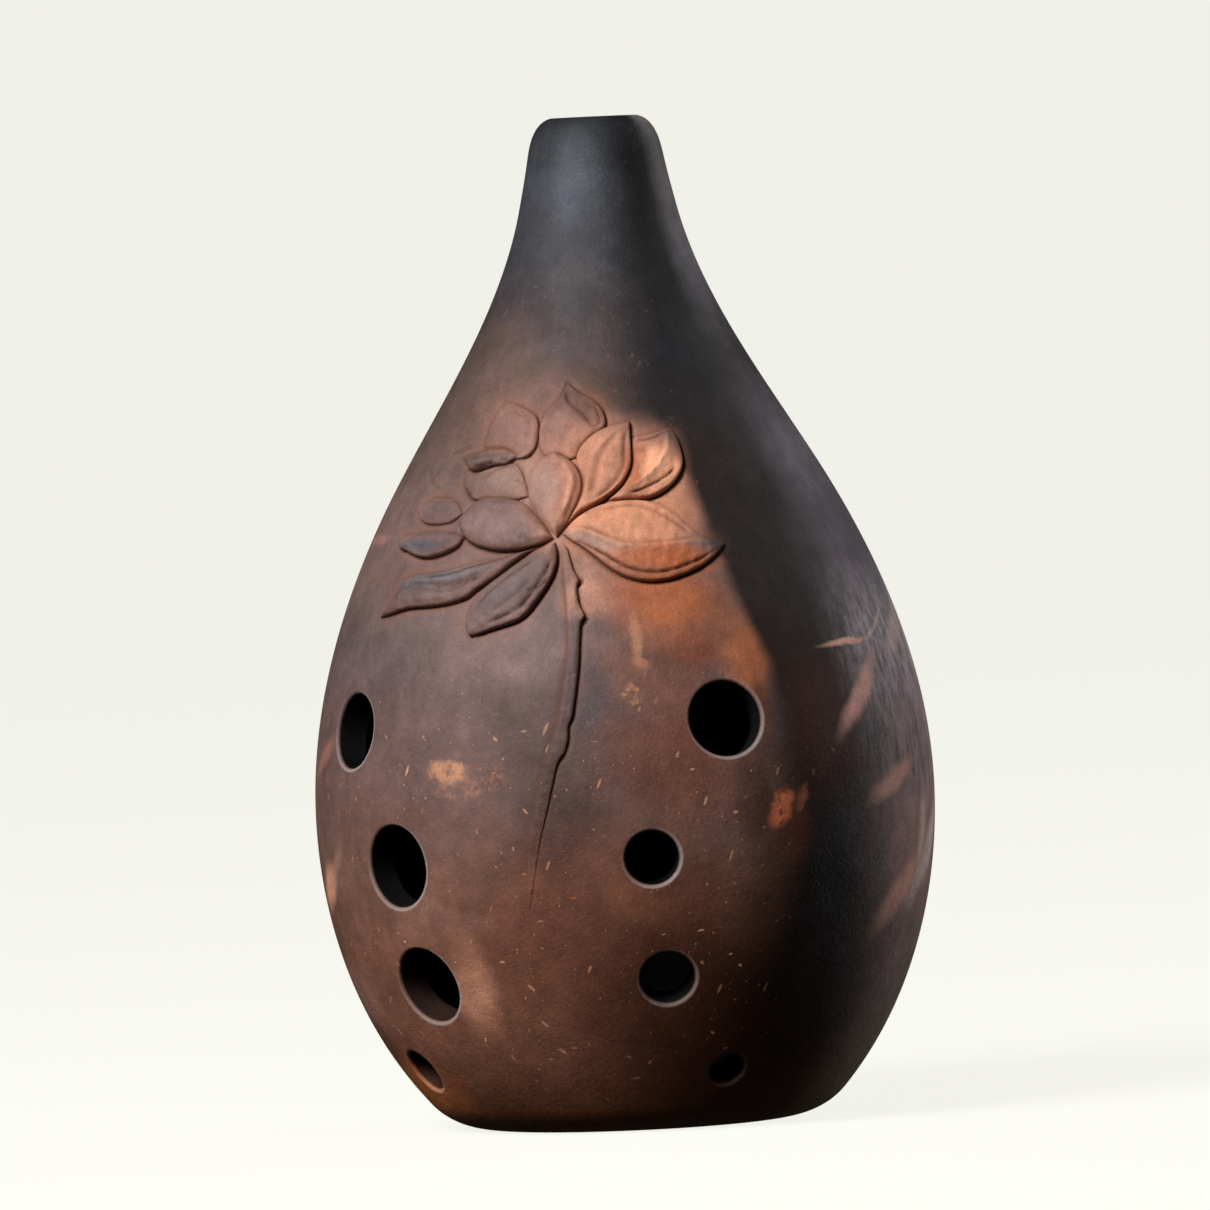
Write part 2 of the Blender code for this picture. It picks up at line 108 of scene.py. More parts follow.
def ease(value: Array, low: float, high: float) -> Array:
    """Rise smoothly from 0 at the low value to 1 at the high one."""
    share = np.clip((value - low) / (high - low), 0.0, 1.0)
    return share * share * (3.0 - 2.0 * share)


def nearest(values: Array, value: float) -> int:
    """Return the place in a list of the number that lies nearest to a value."""
    return int(np.argmin(np.abs(values - value)))


def direction(azimuth: float, elevation: float) -> Vector:
    """Return the direction from the pot to where an azimuth and an elevation point."""
    turn, rise = math.radians(azimuth), math.radians(elevation)
    flat = math.cos(rise)
    return Vector((math.sin(turn) * flat, -math.cos(turn) * flat, math.sin(rise)))


def no_facts(*shape: int, deep: float = 0.0) -> Array:
    """Return the facts of clean points, which know no more than how deep inside they lie."""
    facts = np.zeros(shape + (len(FACTS),))
    facts[..., DEEP] = deep
    return facts


def flowing(path: Numbers, per_span: int = 7) -> Array:
    """Draw a smooth line through points.

    Args:
        path: The two coordinates of each point that the line passes through, in turn.
        per_span: How many steps it takes from one to the next.

    Returns:
        The points of the smooth line.
    """
    knots = np.reshape(path, (-1, 2))
    knots = np.vstack([2 * knots[0] - knots[1], knots, 2 * knots[-1] - knots[-2]])
    share = np.linspace(0.0, 1.0, per_span, endpoint=False)[:, None]
    spans = []
    for i in range(1, len(knots) - 2):
        a, b, c, d = knots[i - 1 : i + 3]
        bend = (2 * a - 5 * b + 4 * c - d) * share**2 + (3 * b - a - 3 * c + d) * share**3
        spans.append(b + 0.5 * ((c - a) * share + bend))
    return np.vstack(spans + [knots[-2:-1]])


def near_box(line: Array, reach: float, u: Array, v: Array) -> Array:
    """Tell which points lie in the box round a line, or within a reach of the box."""
    low, high = line.min(0) - reach, line.max(0) + reach
    return (u > low[0]) & (u < high[0]) & (v > low[1]) & (v < high[1])


def nearest_on(line: Array, u: Array, v: Array) -> tuple[Array, Array, Array]:
    """Measure how far points lie from a line on the sheet.

    Args:
        line: The line's points.
        u: The points' first coordinates.
        v: The points' second coordinates.

    Returns:
        The distance, the side (1 to the left of the line, -1 to the right), and the share
        of the line's length at which the nearest point lies.
    """
    best = np.full(u.shape, np.inf)
    side = np.ones(u.shape)
    share = np.zeros(u.shape)
    spans = len(line) - 1
    for k in range(spans if u.size else 0):
        start = line[k]
        step = line[k + 1] - start
        du = u - start[0]
        dv = v - start[1]
        along = np.clip((du * step[0] + dv * step[1]) / max(step @ step, 1e-12), 0.0, 1.0)
        gap = (du - along * step[0]) ** 2 + (dv - along * step[1]) ** 2
        closer = gap < best
        best = np.where(closer, gap, best)
        side = np.where(closer, np.where(step[0] * dv - step[1] * du >= 0, 1.0, -1.0), side)
        share = np.where(closer, (k + along) / spans, share)
    return np.sqrt(best), side, share


# Shape of the body


@dataclass(frozen=True)
class Station:
    """A place on the outside of the body, and the direction of the outline there."""

    radius: float
    height: float
    angle: float


@dataclass
class BodyOutline:
    """The outline that the body is turned from, with the slight unevenness of hand work."""

    stations: tuple[Station, ...] = (
        Station(21.0, 0.0, 6.0),
        Station(28.4, 3.6, 48.5),
        Station(42.5, 44.1, 90.0),
        Station(28.8, 89.1, 120.0),
        Station(10.85, 125.3, 103.0),
        Station(9.35, 132.3, 100.0),
        Station(6.0, 137.8, 165.0),
    )
    steps: int = 160
    unevenness: float = 0.10

    def __post_init__(self) -> None:
        """Sample the outline between its stations."""
        places, angles = [], []
        t = np.linspace(0.0, 1.0, self.steps, endpoint=False)[:, None]
        for low, high in zip(self.stations, self.stations[1:]):
            start = np.array([low.radius, low.height])
            end = np.array([high.radius, high.height])
            leave, arrive = math.radians(low.angle), math.radians(high.angle)
            handle = np.linalg.norm(end - start) / (3.0 * math.cos((arrive - leave) / 4.0) ** 2)
            first = start + handle * np.array([math.cos(leave), math.sin(leave)])
            second = end - handle * np.array([math.cos(arrive), math.sin(arrive)])
            curve = (1 - t) ** 3 * start + 3 * (1 - t) ** 2 * t * first
            places.append(curve + 3 * (1 - t) * t**2 * second + t**3 * end)
            slope = (1 - t) ** 2 * (first - start) + 2 * (1 - t) * t * (second - first)
            slope = slope + t**2 * (end - second)
            angles.append(np.arctan2(slope[:, 1], slope[:, 0]))
        last = self.stations[-1]
        places.append(np.array([[last.radius, last.height]]))
        self.radius, self.height = np.vstack(places).T
        self.angle = np.append(np.concatenate(angles), math.radians(last.angle))
        steps = np.hypot(np.diff(self.radius), np.diff(self.height))
        self.run = np.concatenate([[0.0], np.cumsum(steps)])

    def at(self, run: Array) -> tuple[Array, Array, Array, Array]:
        """Find places on the outline.

        Args:
            run: Lengths of outline from the foot.

        Returns:
            Radius, height, and the outward direction's two parts, out and up.
        """
        radius, height, angle = (
            np.interp(run, self.run, known) for known in (self.radius, self.height, self.angle)
        )
        return radius, height, np.sin(angle), -np.cos(angle)

    def run_at(self, height: float) -> float:
        """Return the run at a height of the outer skin."""
        return float(np.interp(height, self.height, self.run))

    def run_inside_at(self, height: float, wall: float) -> float:
        """Return the run whose place on the inner skin is at a height."""
        _, outer, _, up = self.at(self.run)
        return float(np.interp(height, outer - up * wall, self.run))

    def place(self, azimuth: Array, run: Array, lift: Array) -> Array:
        """Find points off the outer skin, in millimetres.

        Args:
            azimuth: Radians from the front.
            run: Lengths of outline.
            lift: How far outside the skin the points lie.

        Returns:
            The points, with their three coordinates last.
        """
        radius, height, out, up = self.at(run)
        reach = radius + out * lift
        flat = [reach * np.sin(azimuth), -reach * np.cos(azimuth), height + up * lift]
        return np.stack(np.broadcast_arrays(*flat), axis=-1)

    def hand_work(self, azimuth: Array, run: Array) -> Array:
        """Return how far the scraped surface lies inside the true form."""
        wave = np.sin(3.0 * azimuth + run / 23.0) * np.sin(run / 17.0 + 1.1)
        wave = wave + 0.6 * np.sin(5.0 * azimuth - run / 11.0 + 2.0)
        wave = wave + 0.4 * np.sin(8.0 * azimuth + run / 6.5)
        calm = ease(run, 0.0, 14.0) * (1.0 - ease(run, 136.0, 148.0))
        return -self.unevenness * (0.5 + 0.25 * wave) * calm - 0.03


# Lotus: lines and petals on a sheet laid round the body


@dataclass(frozen=True)
class ToolLine:
    """A mark of the modelling tool: a ridge where it rises, a cut where it falls.

    The two widths are how far the mark reaches to the left and to the right of its line.
    """

    path: Numbers
    rise: float
    left: float
    right: float
    soot: float = 0.0
    crisp: bool = False
    fade_in: float = 0.12
    fade_out: float = 0.12
    soot_width: float = 0.34

    def mark(self, u: Array, v: Array) -> tuple[Array, Array]:
        """Measure the mark at points of the sheet.

        Args:
            u: The points' first coordinates.
            v: The points' second coordinates.

        Returns:
            How far the clay rises, and how much soot and painted shade lie in it.
        """
        rise, soot = np.zeros(u.shape), np.zeros(u.shape)
        line = flowing(self.path)
        near = near_box(line, max(self.left, self.right, 0.5) * 1.2, u, v)
        gap, side, share = nearest_on(line, u[near], v[near])
        away = np.clip(gap / np.where(side > 0, self.left, self.right), 0.0, 1.0)
        shape = (1.0 - away) ** 1.6 if self.crisp else 0.5 + 0.5 * np.cos(np.pi * away)
        ends = ease(share, 0.0, self.fade_in) * (1.0 - ease(share, 1.0 - self.fade_out, 1.0))
        rise[near] = self.rise * shape * ends
        soot[near] = self.soot * np.clip(1.0 - gap / self.soot_width, 0.0, 1.0) ** 0.7 * ends
        return rise, soot


@dataclass(frozen=True)
class PetalForm:
    """A petal or the stem: its two sides from root to tip, its section and its marks.

    The section rises from the height of the first side to the crown, at a share of the
    width, and falls to the height of the second side. Each side is rounded over its own
    width, and a groove sets it off from the clay behind it.
    """

    name: str
    node: str
    first_side: Numbers
    second_side: Numbers
    first_height: float
    crown: float
    second_height: float
    crown_at: float = 0.6
    first_round: float = 0.9
    second_round: float = 0.4
    first_cut: float = 0.12
    second_cut: float = 0.5
    cut_width: float = 0.42
    swell: float = 0.45
    scorch: float = 1.1
    sinks_from: float = 1.0
    slot: str = "petal_clay"
    lines: tuple[ToolLine, ...] = ()

    def sides(self) -> tuple[Array, Array]:
        """Return the two sides as smooth lines."""
        return flowing(self.first_side), flowing(self.second_side)

    def depth_inside(self, u: Array, v: Array) -> Array:
        """Return how far points lie inside the petal's outline, and 0 outside it."""
        first, second = self.sides()
        ring = np.vstack([first, second[::-1][1:-1]])
        depth = np.zeros(u.shape)
        near = near_box(ring, 0.0, u, v)
        pu, pv = u[near], v[near]
        inside = np.zeros(pu.shape, bool)
        for a, b in zip(ring, np.roll(ring, -1, axis=0)):
            spans = (a[1] > pv) != (b[1] > pv)
            if b[1] != a[1]:
                inside ^= spans & (pu < (b[0] - a[0]) * (pv - a[1]) / (b[1] - a[1]) + a[0])
        gap = nearest_on(np.vstack([ring, ring[:1]]), pu, pv)[0]
        depth[near] = np.where(inside, gap, 0.0)
        return depth

    def groove(self, u: Array, v: Array) -> tuple[Array, Array, Array]:
        """Measure the grooves that set the petal off from the clay behind it.

        Args:
            u: The points' first coordinates on the sheet.
            v: The points' second coordinates.

        Returns:
            The depth of the grooves, how much soot and painted shade lie in them, and how
            scorched the clay beside them is.
        """
        depth, soot, warm = np.zeros((3,) + u.shape)
        reach = max(self.cut_width, self.scorch) * 2.0
        for line, cut in zip(self.sides(), (self.first_cut, self.second_cut)):
            near = near_box(line, reach, u, v)
            gap, _, share = nearest_on(line, u[near], v[near])
            ends = 0.35 + 0.65 * ease(share, 0.0, 0.2) * (1.0 - ease(share, 0.86, 1.0))
            if self.sinks_from < 1.0:
                ends = ends * (1.0 - 0.9 * ease(share, self.sinks_from, 0.95))
            # Soot and painted shade: it grows with the cut, which is deepest on the second side,
            # away from the light
            marks = (
                (depth, cut, self.cut_width),
                (soot, min(cut * 2.3, 1.0), 0.25 + 0.12 * cut),
                (warm, 1.0, self.scorch),
            )
            for mark, strength, width in marks:
                bowl = strength * (np.exp(-((gap / width) ** 2)) * ends)
                mark[near] = np.maximum(mark[near], bowl)
        return depth, soot, warm


# The petals and the stem, those in front first
PETALS = (
    PetalForm(
        "front_centre_petal", "petal_front_centre",
        (-0.4, -0.1, -1.2, 0.8, -2.2, 2.0, -3.3, 3.4, -4.3, 4.9, -4.85, 6.8, -4.95, 8.6,
         -4.4, 10.2, -3.3, 11.6, -2.2, 12.4, -1.5, 12.6),
        (-0.4, -0.1, 0.4, 1.2, 1.3, 2.8, 2.15, 4.7, 2.65, 6.6, 2.5, 8.4, 1.8, 10.0, 0.8, 11.3,
         -0.3, 12.1, -1.0, 12.5, -1.5, 12.6),
        first_height=0.75, crown=1.7, second_height=0.95, crown_at=0.48, first_round=0.9,
        second_round=1.3, first_cut=0.18, second_cut=0.30, swell=0.35,
        lines=(
            ToolLine((-1.2, 11.6, 0.3, 10.6, 1.15, 9.0, 1.3, 7.0, 1.0, 4.8, 0.4, 2.8),
                0.22, 1.6, 0.5),
            ToolLine((-3.9, 9.8, -2.6, 11.0, -1.3, 11.4, 0.0, 10.8), 0.10, 0.5, 1.2),
            ToolLine((1.6, 9.4, 1.9, 7.2, 1.4, 4.6, 0.6, 2.2), -0.14, 0.5, 0.4, 0.3),
        ),
    ),
    PetalForm(
        "front_left_petal", "petal_front_left",
        (-0.9, -0.2, -1.8, 1.3, -3.2, 3.0, -4.8, 4.7, -6.4, 5.6, -8.5, 6.1, -11.0, 6.15,
         -13.0, 5.5, -14.5, 4.1, -15.1, 2.4),
        (-0.9, -0.2, -2.0, -0.7, -3.3, -1.2, -4.8, -1.6, -6.6, -1.75, -8.6, -1.75, -10.6, -1.4,
         -12.6, -0.75, -14.2, 0.3, -15.0, 1.4, -15.1, 2.4),
        first_height=0.6, crown=1.7, second_height=0.95, crown_at=0.55, first_round=1.1,
        second_round=0.8, first_cut=0.16, second_cut=0.42, swell=0.35,
        lines=(
            ToolLine((-5.6, 4.2, -4.6, 2.6, -4.2, 0.8, -4.6, -0.6), 0.14, 0.9, 1.2),
            ToolLine((-13.6, 2.4, -11.0, 4.3, -8.0, 4.6), 0.06, 0.8, 0.8),
        ),
    ),
    PetalForm(
        "stem_strip", "lotus_stem",
        (0.5, -1.0, 0.35, -2.4, 0.5, -4.2, 1.0, -7.0, 1.4, -10.0, 1.65, -13.0, 1.75, -16.0,
         1.45, -19.0, 0.9, -22.5, 0.2, -26.0, -0.7, -29.0, -1.7, -32.0, -2.4, -35.0, -3.1, -38.0,
         -3.9, -41.0, -4.4, -44.5, -4.7, -48.0, -4.8, -51.6),
        (0.5, -1.0, 1.2, -1.9, 1.6, -3.2, 2.2, -5.0, 2.95, -6.4, 2.75, -7.2, 2.85, -8.4,
         3.2, -10.0, 3.95, -11.6, 3.5, -12.5, 3.4, -15.0, 3.35, -18.0, 3.1, -21.0, 2.75, -24.0,
         2.45, -25.8, 2.0, -26.6, 1.9, -28.5, 1.4, -30.3, 0.35, -31.9, -0.5, -35.0, -1.3, -38.0,
         -2.2, -41.0, -3.1, -44.5, -3.9, -48.3, -4.8, -51.6),
        first_height=0.28, crown=0.75, second_height=0.5, crown_at=0.55, first_round=0.6,
        second_round=0.3, first_cut=0.20, second_cut=0.26, cut_width=0.3, swell=0.25, scorch=0.5,
        sinks_from=0.4, slot="stem_clay",
        lines=(
            ToolLine((1.0, -2.6, 1.6, -6.0, 2.1, -10.0, 2.4, -14.0, 2.3, -19.0, 1.7, -25.0,
                0.6, -30.0), -0.10, 0.5, 0.5, 0.08),
        ),
    ),
    PetalForm(
        "right_spread_petal", "petal_right_spread",
        (0.3, 0.4, 1.6, 2.2, 3.4, 3.6, 5.6, 4.6, 8.0, 5.0, 10.6, 4.95, 13.0, 4.3, 15.2, 2.9,
         17.2, 1.1, 18.9, -0.5, 20.3, -1.2, 21.6, -1.3, 23.0, -2.1),
        (0.3, 0.4, 1.4, -0.5, 3.0, -1.5, 4.6, -2.8, 6.1, -4.1, 7.6, -5.3, 9.4, -6.3, 11.4, -6.95,
         13.4, -7.15, 15.6, -6.9, 17.6, -6.3, 19.4, -5.5, 20.9, -4.5, 22.2, -3.3, 23.0, -2.1),
        first_height=0.45, crown=1.15, second_height=0.8, crown_at=0.62, first_round=0.9,
        second_round=0.4, first_cut=0.12, second_cut=0.34,
        lines=(
            ToolLine((0.6, 0.6, 2.4, 0.9, 4.2, 0.3, 5.8, -0.6, 7.4, -1.4, 9.2, -1.95, 11.4, -2.2,
                14.0, -2.2, 17.0, -1.95, 19.6, -1.9, 21.4, -2.0),
                0.50, 0.35, 2.4, crisp=True, fade_out=0.05),
            ToolLine((2.5, 1.4, 4.4, 0.8, 6.0, -0.05, 7.6, -0.9, 9.3, -1.45, 11.4, -1.7,
                14.0, -1.7, 17.0, -1.45, 19.4, -1.45), -0.16, 0.35, 0.3, 0.3, crisp=True),
            ToolLine((1.0, -0.3, 3.0, -1.25, 5.0, -2.3, 6.6, -3.3, 8.2, -4.4, 10.0, -5.35,
                12.0, -5.9, 14.0, -6.05, 16.0, -5.7, 18.0, -5.05, 19.8, -4.3, 21.4, -3.3),
                -0.42, 0.45, 0.28, 0.6, crisp=True, fade_in=0.2),
            ToolLine((5.2, 3.4, 7.2, 3.9, 9.2, 4.05, 11.2, 3.7, 13.2, 2.8, 15.2, 1.5, 17.0, 0.1,
                18.4, -1.0), -0.26, 0.5, 0.7, 0.3),
            ToolLine((6.5, 1.2, 9.5, 1.5, 12.5, 0.9, 15.5, -0.4), -0.16, 1.8, 1.8),
            ToolLine((3.2, 0.1, 5.2, -1.1, 7.4, -2.6, 9.5, -3.6), -0.10, 0.5, 0.5),
        ),
    ),
    PetalForm(
        "low_drooping_petal", "petal_low_drooping",
        (-0.6, -0.8, -2.4, -1.5, -4.2, -2.6, -6.0, -3.8, -8.0, -5.3, -10.0, -6.7, -11.6, -8.1,
         -12.7, -9.8, -13.3, -11.6, -13.2, -13.0, -12.6, -13.95),
        (-0.6, -0.8, -0.3, -2.0, -0.2, -3.6, -0.55, -5.4, -1.45, -7.3, -2.6, -9.1, -3.8, -10.7,
         -5.2, -11.85, -7.4, -12.6, -9.6, -13.2, -11.4, -13.75, -12.6, -13.95),
        first_height=0.5, crown=1.35, second_height=0.8, crown_at=0.55, first_round=0.6,
        second_round=0.35, first_cut=0.12, second_cut=0.4,
        lines=(
            ToolLine((-0.8, -3.4, -1.4, -5.2, -2.6, -7.2, -3.9, -9.1, -5.3, -10.5, -7.6, -11.6,
                -10.2, -12.6), -0.34, 0.4, 0.5, 0.45, crisp=True),
            ToolLine((-1.8, -3.0, -4.2, -5.2, -7.0, -7.2, -9.6, -9.2, -11.8, -11.8),
                0.20, 0.9, 1.1, crisp=True),
            ToolLine((-3.0, -3.4, -6.2, -5.4, -9.2, -7.8, -11.4, -10.0), -0.18, 0.4, 0.4, 0.45),
            ToolLine((-3.4, -6.4, -6.0, -8.8, -9.0, -10.8), -0.16, 0.5, 0.5, 0.45),
            ToolLine((-1.2, -6.4, -2.4, -7.4, -4.2, -8.2), -0.22, 0.35, 0.35, 0.6, crisp=True),
        ),
    ),
    PetalForm(
        "right_upright_petal", "petal_right_upright",
        (0.2, 0.9, 1.2, 3.4, 1.9, 6.0, 1.9, 8.6, 1.6, 10.8, 1.6, 12.6, 2.3, 14.1, 3.5, 15.4,
         5.1, 16.4, 6.7, 16.95, 8.35, 17.2),
        (0.2, 0.9, 1.4, 2.3, 2.7, 3.4, 4.1, 4.2, 5.4, 5.0, 6.8, 6.1, 7.9, 7.25, 8.7, 8.7,
         9.05, 10.3, 8.95, 12.0, 8.7, 14.0, 8.5, 15.6, 8.35, 17.2),
        first_height=0.45, crown=1.2, second_height=1.05, crown_at=0.75, first_round=0.9,
        second_round=0.35, first_cut=0.18, second_cut=0.42,
        lines=(
            ToolLine((3.0, 4.8, 3.2, 7.0, 3.35, 9.2, 3.8, 11.4, 4.9, 13.5, 6.5, 15.4, 7.9, 16.5),
                0.30, 0.6, 1.2, crisp=True),
            ToolLine((4.2, 5.6, 4.5, 8.0, 4.8, 10.6, 5.5, 12.8, 6.8, 14.9),
                -0.24, 0.9, 0.5, 0.15),
            ToolLine((4.4, 5.0, 6.1, 6.4, 7.3, 8.0, 7.95, 10.0, 7.95, 12.0, 7.85, 14.0,
                8.05, 15.8), -0.24, 0.7, 0.4, 0.5),
        ),
    ),
    PetalForm(
        "low_long_petal", "petal_low_long",
        (-2.2, -1.0, -5.0, -1.9, -8.0, -2.7, -11.0, -3.2, -14.0, -3.8, -17.0, -4.5, -20.0, -4.9,
         -23.0, -5.0, -25.2, -5.5, -26.3, -6.5, -27.7, -8.1, -29.0, -9.8, -30.3, -11.2),
        (-2.2, -1.0, -3.6, -1.7, -5.0, -2.6, -6.6, -3.8, -8.4, -5.2, -10.4, -6.5, -12.0, -7.5,
         -13.2, -8.4, -15.0, -9.0, -17.0, -9.4, -19.5, -9.65, -22.0, -9.75, -24.4, -9.95,
         -26.6, -10.4, -28.6, -10.9, -30.3, -11.2),
        first_height=0.22, crown=1.05, second_height=0.7, crown_at=0.66, first_round=0.9,
        second_round=0.35, first_cut=0.18, second_cut=0.34,
        lines=(
            ToolLine((-9.5, -4.7, -12.5, -6.4, -16.0, -7.6, -20.0, -7.4, -24.5, -7.1,
                -27.5, -8.6), -0.30, 0.5, 0.8, 0.30, crisp=True),
            ToolLine((-7.0, -3.4, -11.0, -4.6, -15.0, -5.6, -19.0, -6.0, -23.0, -5.9,
                -25.6, -6.4), 0.20, 0.6, 0.8, crisp=True),
            ToolLine((-8.0, -3.1, -12.0, -3.9, -16.0, -5.0, -21.0, -5.5), -0.20, 0.4, 0.4, 0.5),
            ToolLine((-11.0, -5.8, -15.0, -6.7, -19.0, -6.9), -0.18, 0.3, 0.3, 0.55),
            ToolLine((-14.0, -8.1, -19.0, -8.6, -25.0, -8.7), 0.14, 0.7, 0.6),
            ToolLine((-10.5, -5.1, -14.5, -6.2, -18.5, -6.5, -23.5, -6.4),
                -0.14, 0.25, 0.25, 0.5),
        ),
    ),
    PetalForm(
        "left_leaf_petal", "petal_left_leaf",
        (-14.4, 0.6, -16.5, 1.2, -19.0, 1.35, -21.5, 1.25, -24.0, 1.0, -26.0, 0.95, -27.6, 0.6,
         -28.7, -0.2),
        (-14.4, 0.6, -15.2, -0.7, -16.8, -1.6, -18.6, -2.2, -20.6, -2.55, -22.6, -2.45,
         -24.6, -1.95, -26.2, -1.45, -27.6, -1.2, -28.7, -0.2),
        first_height=0.25, crown=0.95, second_height=0.75, crown_at=0.6, first_round=0.6,
        second_round=0.35, first_cut=0.14, second_cut=0.34,
        lines=(
            ToolLine((-15.8, -0.2, -18.5, -0.9, -21.5, -1.2, -25.0, -0.7),
                -0.20, 0.4, 0.4, 0.2, crisp=True),
            ToolLine((-16.0, 0.5, -19.5, 0.2, -23.5, 0.2), 0.14, 0.5, 0.5),
            ToolLine((-17.0, -1.2, -20.0, -1.8, -23.0, -1.7), -0.14, 0.25, 0.25, 0.2, crisp=True),
        ),
    ),
    PetalForm(
        "left_curled_petal", "petal_left_curled",
        (-6.8, 12.5, -8.0, 13.3, -9.5, 13.75, -11.5, 13.7, -13.5, 13.2, -15.2, 13.0, -16.4, 12.4),
        (-6.8, 12.5, -7.8, 11.8, -8.8, 11.3, -10.3, 11.2, -12.0, 10.85, -13.4, 10.35, -14.6, 10.7,
         -15.4, 11.6, -16.4, 12.4),
        first_height=0.25, crown=0.95, second_height=0.7, crown_at=0.5, first_round=0.6,
        second_round=0.3, first_cut=0.14, second_cut=0.36,
        lines=(
            ToolLine((-7.6, 12.6, -9.6, 12.5, -12.0, 12.2, -14.8, 12.2),
                -0.26, 0.4, 0.4, 0.3, crisp=True),
            ToolLine((-10.2, 11.5, -12.0, 11.15, -14.0, 10.6), -0.35, 0.3, 0.3, 0.9, crisp=True),
            ToolLine((-8.2, 11.9, -8.9, 11.7, -9.4, 12.0), -0.30, 0.3, 0.3, 0.5, crisp=True),
        ),
    ),
    PetalForm(
        "right_cupped_petal", "petal_right_cupped",
        (6.2, 5.2, 7.6, 6.8, 8.4, 8.8, 8.6, 11.0, 8.4, 13.0, 8.9, 14.6, 10.3, 14.75, 12.0, 15.2,
         13.9, 16.0),
        (6.2, 5.2, 8.4, 5.15, 10.4, 5.1, 12.2, 5.3, 13.8, 6.1, 15.1, 7.3, 15.95, 8.8, 16.15, 10.4,
         15.75, 12.2, 15.1, 14.0, 14.4, 15.3, 13.9, 16.0),
        first_height=0.5, crown=1.15, second_height=0.95, crown_at=0.7, first_round=0.6,
        second_round=0.4, first_cut=0.12, second_cut=0.38,
        lines=(
            ToolLine((13.5, 14.9, 13.6, 13.2, 13.3, 11.2, 12.4, 9.4, 11.0, 7.9, 9.2, 6.6,
                7.4, 5.7), 0.52, 1.7, 0.5, crisp=True, fade_in=0.04),
            ToolLine((15.0, 9.4, 14.4, 8.5, 13.4, 7.65, 12.0, 6.8, 10.5, 6.1, 9.0, 5.7),
                -0.40, 0.35, 0.28, 0.55, crisp=True),
            ToolLine((9.4, 14.0, 10.6, 13.9, 12.0, 14.3, 13.2, 15.0),
                -0.28, 0.4, 0.5, 0.4, crisp=True),
            ToolLine((10.8, 13.0, 11.3, 11.0, 10.4, 8.8), -0.22, 1.5, 1.3),
        ),
    ),
    PetalForm(
        "back_centre_petal", "petal_back_centre",
        (-1.2, 11.6, -2.8, 12.4, -3.7, 13.8, -4.0, 15.6, -3.9, 17.4, -3.3, 19.0, -2.4, 20.3,
         -1.4, 21.4, -0.9, 22.5, -0.5, 23.7),
        (-1.2, 11.6, 1.0, 11.8, 2.8, 13.2, 4.3, 15.0, 5.1, 16.8, 4.9, 18.2, 4.3, 19.5, 3.3, 20.7,
         2.0, 21.6, 0.6, 22.6, -0.5, 23.7),
        first_height=0.42, crown=0.75, second_height=0.5, crown_at=0.45, first_round=0.8,
        second_round=0.6, first_cut=0.22, second_cut=0.24,
        lines=(
            ToolLine((-0.55, 22.8, -0.4, 21.0, 0.5, 19.7, 1.7, 18.7, 2.6, 17.5, 3.5, 16.5,
                4.3, 16.0), -0.34, 1.6, 0.35, 0.35, crisp=True, fade_in=0.05),
            ToolLine((-3.1, 13.8, -3.1, 16.0, -2.7, 18.0, -1.8, 19.7, -0.9, 21.0),
                -0.16, 0.4, 0.6, 0.08),
            ToolLine((4.3, 16.6, 4.25, 17.9, 3.7, 19.2), -0.24, 0.3, 0.3, 0.35, crisp=True),
        ),
    ),
    PetalForm(
        "left_inner_petal", "petal_left_inner",
        (-4.6, 6.4, -5.6, 8.6, -6.4, 10.4, -7.8, 11.5, -9.5, 11.4, -11.5, 10.8, -13.5, 10.4,
         -15.0, 10.9, -15.7, 10.4),
        (-4.6, 6.4, -6.8, 5.8, -9.4, 5.8, -11.6, 5.8, -13.2, 6.0, -14.4, 6.7, -15.2, 7.7,
         -15.6, 9.0, -15.7, 10.4),
        first_height=0.25, crown=0.6, second_height=0.42, crown_at=0.5, first_round=0.8,
        second_round=0.4, first_cut=0.20, second_cut=0.32,
        lines=(
            ToolLine((-13.0, 6.4, -12.2, 7.8, -11.4, 9.1, -10.2, 10.1),
                -0.24, 0.9, 0.3, 0.15, crisp=True),
            ToolLine((-7.0, 8.5, -6.6, 8.6, -6.2, 8.8), -0.26, 0.4, 0.4, 0.3),
            ToolLine((-12.6, 8.7, -11.0, 9.9, -9.0, 10.7, -7.0, 11.0), -0.22, 0.5, 0.4, 0.2),
            ToolLine((-9.6, 6.3, -8.6, 7.8, -7.0, 9.3), -0.14, 0.6, 0.4, 0.12),
            ToolLine((-15.0, 7.9, -14.4, 7.0, -13.6, 6.5), -0.26, 0.3, 0.3, 0.6, crisp=True),
        ),
    ),
    PetalForm(
        "back_left_petal", "petal_back_left",
        (-8.2, 12.0, -10.5, 12.3, -12.2, 13.2, -12.6, 14.8, -12.4, 16.4, -11.8, 18.1, -11.1, 19.5,
         -10.3, 20.5, -9.2, 20.9),
        (-8.2, 12.0, -5.8, 12.3, -4.5, 13.6, -4.2, 15.4, -4.2, 17.1, -4.7, 18.6, -6.0, 19.6,
         -7.6, 20.4, -9.2, 20.9),
        first_height=0.42, crown=0.66, second_height=0.46, crown_at=0.5, first_round=0.8,
        second_round=0.9, first_cut=0.20, second_cut=0.24, swell=0.3,
        lines=(
            ToolLine((-11.4, 14.4, -11.4, 16.4, -10.8, 18.2, -9.6, 19.8), 0.14, 0.6, 0.9),
            ToolLine((-5.6, 14.6, -5.3, 16.8, -6.0, 18.3, -7.8, 19.4), -0.14, 0.6, 0.6, 0.1),
        ),
    ),
    PetalForm(
        "left_small_petal", "petal_left_small",
        (-15.2, 4.0, -16.4, 5.6, -18.0, 6.3, -20.0, 6.5, -22.0, 6.0, -23.6, 5.2, -24.7, 4.2),
